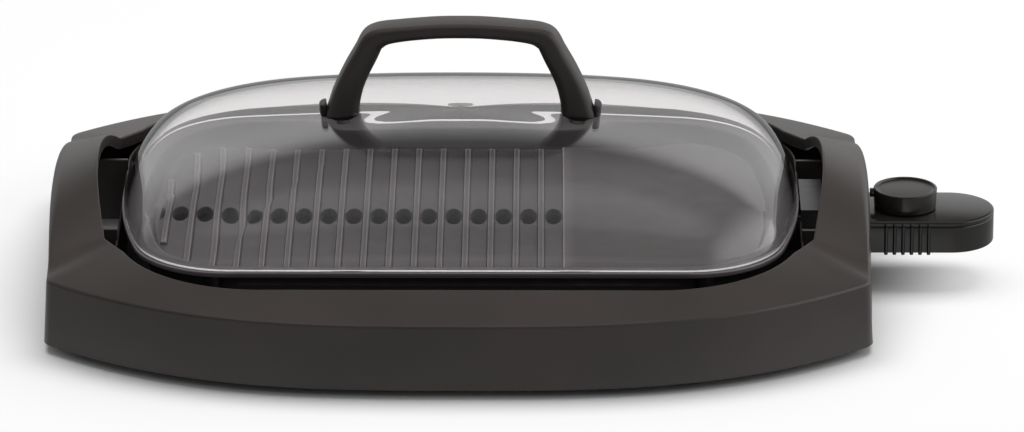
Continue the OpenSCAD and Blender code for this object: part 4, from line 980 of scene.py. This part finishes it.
def make_case():
    """Lower case and cover: two rounded prisms that meet at the parting line, finger ridges as
    half-round columns on both sides, and a shallow lip round the cover."""
    outline, under, part, top, seam = case_outline(), 25.7, COVER_TOP - 3.0, COVER_TOP, 0.25
    lower = Shape()
    lower.prism(outline, under, part - seam, 1.2, 5)
    finger_ridges(lower, under - 0.8, part - seam, 0.3)
    dress(lower.finish("case_bottom", 30.0), "case", "controller", "case_plastic", "controller_lower_case")
    cover = Shape()
    lip = [(0.15, part), (0.0, part + 0.3), (0.0, part + 1.7), (0.12, part + 2.1), (0.45, part + 2.45),
           (0.9, top - 0.35), (1.3, top - 0.12), (1.8, top)]
    cover.tube([level_ring(inset(outline, d), z) for d, z in lip])
    finger_ridges(cover, part, top - 1.2, 0.8)
    dress(cover.finish("case_cover", 30.0), "case", "controller", "case_plastic", "controller_cover")


def make_knob():
    """Knob: a turned body with a slight outward draft, a raised rim round a dished face, a
    hollow underside with a hub, and a small pointer at its side."""
    x, low, high = KNOB_X, KNOB_FOOT, KNOB_TOP
    outside, rounding, hollow, bore, hub = 19.8, 0.7, 17.2, 3.0, 5.4
    t = np.linspace(0, np.pi / 2, 6)
    rim = np.stack([outside - rounding * (1 - np.cos(t)), high - rounding * (1 - np.sin(t))], 1)
    underside = [(bore, low + 1), (hub, low + 1), (hub, high - 3.6), (hollow, high - 3.6),
                 (hollow, low + 0.4), (17.5, low)]
    skirt = [(19.0, low), (19.3, low + 0.4), (19.5, low + 4.0)]
    dish = [(18.3, high), (18.0, high - 0.3), (17.7, high - 1.0), (17.2, high - 1.2), (0.0, high - 1.2)]
    inside = [(0.0, high - 4.2), (bore, high - 4.2), (bore, low + 1)]
    shape = Shape()
    shape.lathe([*underside, *skirt, *rim, *dish, *inside], (x, 0.0), 128)
    shape.block((x - 22.2, -2.0, high - 6.0), (x - 18.4, 2.0, high - 1.0), 0.6)
    dress(shape.finish("knob_body", 25.0), "knob", "knob", "knob_plastic", "control_knob")
    disc = [(0.0, high - 1.12), (15.6, high - 1.12), (16.3, high - 1.2), (0.0, high - 1.25)]
    face = Shape()
    face.lathe(disc, (x, 0.0), 96)
    dress(face.finish("knob_face", 40.0), "knob_face", "knob", "knob_plastic")


# ---------------------------------------------------------------- solids kept as they are


SOLID_FINISHES = {
    "body": ["base_housing"],
    "floor": ["base_floor"],
    "tray": ["drip_tray"],
    "support": ["plate_supports"],
    "plate": ["grill_plate"],
    "element": ["heating_element"],
    "shroud": ["terminal_shroud"],
    "steel": ["floor_screws", "foot_screws", "support_screws", "element_clamps", "clamp_screws",
              "terminal_pins", "shroud_screws", "lid_screws", "probe_tube", "thermostat_frame",
              "case_screws", "knob_shaft"],
    "brass": ["socket_contacts", "thermostat_blades"],
    "ceramic": ["pin_insulators", "contact_block"],
    "rubber": ["foot_front_left", "foot_front_right", "foot_rear_left", "foot_rear_right",
               "lid_washers", "cord_gland"],
    "glass": ["lid_glass"],
    "handle": ["lid_handle"],
    "pad": ["handle_pad_left", "handle_pad_right"],
    "case": ["controller_lower_case", "controller_cover"],
    "lens": ["indicator_lens"],
    "knob": ["control_knob"],
}


def dress_solids():
    """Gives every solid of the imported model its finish, also those that a piece replaces."""
    for finish, nodes in SOLID_FINISHES.items():
        for node in nodes:
            materials = NODES[node].data.materials
            if not materials:
                materials.append(None)
            for i in range(len(materials)):
                materials[i] = finishes()[finish]


# ---------------------------------------------------------------- studio


# the camera: its place in millimetres, its focal length in pixels of an image 1024 wide, and how
# far it looks down and to the left
CAMERA_AT = (54.374, -4479.568, 1670.174)
FOCAL_PX = 7627.34
IMAGE_WIDTH = 1024.0
LOOK_DOWN = math.radians(20.0)
LOOK_LEFT = math.atan(38.0 / FOCAL_PX)


def make_camera():
    """Camera at the photograph's viewing angle, with a long lens."""
    data = bpy.data.cameras.new("view")
    data.sensor_width = 36.0
    data.lens = FOCAL_PX * data.sensor_width / IMAGE_WIDTH
    data.clip_end = 50
    camera = bpy.data.objects.new("view", data)
    bpy.context.scene.collection.objects.link(camera)
    level = math.cos(LOOK_DOWN)
    ahead = Vector((-math.sin(LOOK_LEFT) * level, math.cos(LOOK_LEFT) * level, -math.sin(LOOK_DOWN)))
    right = ahead.cross(Vector((0, 0, 1))).normalized()
    up = right.cross(ahead)
    place = Matrix((right, up, -ahead)).transposed().to_4x4()
    place.translation = (Vector(CAMERA_AT) + Vector(MIDDLE)) * 0.001
    camera.matrix_world = place
    bpy.context.scene.camera = camera


def node_math(tree, operation, a, b):
    """Result of a sum, product, maximum and so on of two values."""
    return add_node(tree, "ShaderNodeMath", {"operation": operation}, _0=a, _1=b).outputs[0]


def smooth(tree, value, start, end, low=0.0, high=1.0):
    """Smooth step from low to high as the value goes from start to end."""
    return add_node(tree, "ShaderNodeMapRange", {"interpolation_type": "SMOOTHSTEP"}, Value=value,
                    From_Min=start, From_Max=end, To_Min=low, To_Max=high).outputs["Result"]


def eye_rays(tree):
    """1 for rays from the camera, also on through glass, else 0; and the same for rays that a
    surface mirrored, also on through glass."""
    path = add_node(tree, "ShaderNodeLightPath").outputs
    plain = node_math(tree, "LESS_THAN", path["Diffuse Depth"], 0.5)
    through = node_math(tree, "MULTIPLY", path["Is Transmission Ray"], plain)
    direct = node_math(tree, "MULTIPLY", through, node_math(tree, "LESS_THAN", path["Glossy Depth"], 0.5))
    bounced = node_math(tree, "MULTIPLY", through, node_math(tree, "GREATER_THAN", path["Glossy Depth"], 0.5))
    return (node_math(tree, "MAXIMUM", path["Is Camera Ray"], direct),
            node_math(tree, "MAXIMUM", path["Is Glossy Ray"], bounced))


def base_shadow(tree):
    """Mask of the painted shadow round the base: 0 under the base, rising to 1 about a hand's
    width outside it; a superellipse distance, the fourth root of the summed fourth powers of X
    and Y over its half axes of 250 and 205 mm."""
    place = add_node(tree, "ShaderNodeSeparateXYZ", None,
                     Vector=add_node(tree, "ShaderNodeTexCoord").outputs["Object"]).outputs
    across = node_math(tree, "DIVIDE", node_math(tree, "SUBTRACT", place["X"], MIDDLE[0] * 0.001), 0.250)
    along = node_math(tree, "DIVIDE", place["Y"], 0.205)
    far = node_math(tree, "ADD", node_math(tree, "POWER", node_math(tree, "ABSOLUTE", across, 0.0), 4.0),
                    node_math(tree, "POWER", node_math(tree, "ABSOLUTE", along, 0.0), 4.0))
    return smooth(tree, node_math(tree, "POWER", far, 0.25), 0.98, 1.4)


def make_floor():
    """Pale floor that shows as white to the eye, with the lamps' shadow of the grill and a
    painted shadow under and round the base.
    """
    shape = Shape()
    shape.add([(-6000, -6000, 0), (6000, -6000, 0), (6000, 6000, 0), (-6000, 6000, 0)], [[0, 1, 2, 3]])
    floor = shape.finish("floor")
    material = bpy.data.materials.new("pale_floor")
    material.use_nodes = True
    tree = material.node_tree
    tree.nodes.clear()
    eye, glossy = eye_rays(tree)
    plain = add_node(tree, "ShaderNodeBsdfDiffuse", None, Color=linear("#f4f4f4"))
    glow = add_node(tree, "ShaderNodeEmission", None, Color=(1, 1, 1, 1),
                    Strength=node_math(tree, "MAXIMUM", eye, 0.3))
    share = node_math(tree, "MAXIMUM", node_math(tree, "MULTIPLY", eye, 0.7),
                      node_math(tree, "MULTIPLY", glossy, 0.85))
    # painted shadow: the floor's white glow is taken away under the base and comes back about a hand's width
    # outside it
    share = node_math(tree, "MULTIPLY", share, base_shadow(tree))
    both = add_node(tree, "ShaderNodeMixShader", None, _0=share, _1=plain.outputs[0], _2=glow.outputs[0])
    out = add_node(tree, "ShaderNodeOutputMaterial")
    tree.links.new(both.outputs[0], out.inputs["Surface"])
    floor.data.materials.append(material)


def make_world():
    """White surroundings for the eye and an even light for surfaces. Reflections see a pale
    backdrop behind, which fades out from 20 to 38 degrees up and is dimmer on the left, a large
    bright screen on the right, grey straight above and dark elsewhere."""
    world = bpy.data.worlds.new("studio")
    bpy.context.scene.world = world
    world.use_nodes = True
    tree = world.node_tree
    tree.nodes.clear()
    eye, glossy = eye_rays(tree)
    way = add_node(tree, "ShaderNodeSeparateXYZ", None,
                   Vector=add_node(tree, "ShaderNodeTexCoord").outputs["Generated"]).outputs
    backdrop = node_math(tree, "MULTIPLY", smooth(tree, way["Z"], 0.34, 0.62, 0.7, 0.0),
                         smooth(tree, way["Y"], 0.2, 0.6))
    screen = node_math(tree, "MULTIPLY", smooth(tree, way["X"], 0.35, 0.85, 0.0, 1.6),
                       smooth(tree, way["Z"], 0.75, 1.0, 1.0, 0.2))
    left = smooth(tree, way["X"], -0.8, -0.1, 0.6, 1.0)
    seen = node_math(tree, "MAXIMUM", node_math(tree, "MULTIPLY", backdrop, left), screen)
    seen = node_math(tree, "MAXIMUM", seen, smooth(tree, way["Z"], 0.8, 0.97, 0.15, 0.5))
    fill, mirror, white = (add_node(tree, "ShaderNodeBackground", None, Color=(1, 1, 1, 1), Strength=light)
                           for light in (0.25, seen, 1.0))
    both = add_node(tree, "ShaderNodeMixShader", None, _0=glossy, _1=fill.outputs[0], _2=mirror.outputs[0])
    both = add_node(tree, "ShaderNodeMixShader", None, _0=eye, _1=both.outputs[0], _2=white.outputs[0])
    out = add_node(tree, "ShaderNodeOutputWorld")
    tree.links.new(both.outputs[0], out.inputs["Surface"])


def make_lamp(name, at, target, width, depth, watts):
    """Soft rectangular lamp at a point, facing another, both in metres. Neither the glass nor
    the gloss of a surface shows it, so that the surroundings alone make the reflections."""
    data = bpy.data.lights.new(name, "AREA")
    data.shape = "RECTANGLE"
    data.size = width
    data.size_y = depth
    data.energy = watts
    lamp = bpy.data.objects.new(name, data)
    bpy.context.scene.collection.objects.link(lamp)
    lamp.visible_glossy = False
    lamp.visible_transmission = False
    lamp.location = at
    lamp.rotation_euler = (Vector(target) - Vector(at)).to_track_quat("-Z", "Y").to_euler()


# ---------------------------------------------------------------- operators


class MakeStudio(bpy.types.Operator):
    """Sets up the camera, floor, surroundings and lamps."""

    bl_idname = "tabletop_grill.make_studio"
    bl_label = "Studio"

    def execute(self, context):
        context.scene.view_settings.view_transform = "Standard"
        make_camera()
        make_floor()
        make_world()
        grill = (0, 0, 0.05)
        make_lamp("overhead", (0.0, 0.4, 1.9), grill, 2.2, 1.2, 37)
        make_lamp("right_side", (1.9, -0.2, 0.9), grill, 0.9, 1.4, 8)
        make_lamp("front", (0.0, -1.6, 1.5), grill, 2.4, 0.5, 2)
        return {"FINISHED"}


class MakeSolids(bpy.types.Operator):
    """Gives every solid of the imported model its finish."""

    bl_idname = "tabletop_grill.dress_solids"
    bl_label = "Finishes of the solids"

    def execute(self, context):
        dress_solids()
        return {"FINISHED"}


class MakeHousing(bpy.types.Operator):
    """Makes the base moulding."""

    bl_idname = "tabletop_grill.make_housing"
    bl_label = "Base moulding"

    def execute(self, context):
        make_housing()
        return {"FINISHED"}


class MakePlate(bpy.types.Operator):
    """Makes the cooking plate."""

    bl_idname = "tabletop_grill.make_plate"
    bl_label = "Cooking plate"

    def execute(self, context):
        make_plate()
        return {"FINISHED"}


class MakeLid(bpy.types.Operator):
    """Makes the glass dome, its handle and the handle's pads."""

    bl_idname = "tabletop_grill.make_lid"
    bl_label = "Lid"

    def execute(self, context):
        make_dome()
        make_handle()
        make_handle_pads()
        return {"FINISHED"}


class MakeController(bpy.types.Operator):
    """Makes the controller's case and its knob."""

    bl_idname = "tabletop_grill.make_controller"
    bl_label = "Controller"

    def execute(self, context):
        make_case()
        make_knob()
        return {"FINISHED"}


STEPS = (MakeStudio, MakeSolids, MakeHousing, MakePlate, MakeLid, MakeController)


class GrillPanel(bpy.types.Panel):
    """Lists the sizes, the colours and the steps."""

    bl_idname = "VIEW3D_PT_tabletop_grill"
    bl_label = "Tabletop grill"
    bl_space_type = "VIEW_3D"
    bl_region_type = "UI"
    bl_category = "Grill"

    def draw(self, context):
        for group in (context.scene.grill_sizes, context.scene.grill_colours):
            column = self.layout.column(align=True)
            for name in group.__annotations__:
                column.prop(group, name)
        column = self.layout.column(align=True)
        for step in STEPS:
            column.operator(step.bl_idname)


CLASSES = (GrillSizes, GrillColours, *STEPS, GrillPanel)


def register():
    """Registers the classes and hangs the settings on the scene."""
    for cls in CLASSES:
        bpy.utils.register_class(cls)
    bpy.types.Scene.grill_sizes = bpy.props.PointerProperty(type=GrillSizes)
    bpy.types.Scene.grill_colours = bpy.props.PointerProperty(type=GrillColours)


def unregister():
    """Takes the settings and the classes away again."""
    del bpy.types.Scene.grill_colours
    del bpy.types.Scene.grill_sizes
    for cls in reversed(CLASSES):
        bpy.utils.unregister_class(cls)


def main():
    """Registers the add-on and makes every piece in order."""
    register()
    for step in STEPS:
        group, name = step.bl_idname.split(".")
        getattr(getattr(bpy.ops, group), name)()


if __name__ == "__main__":
    main()
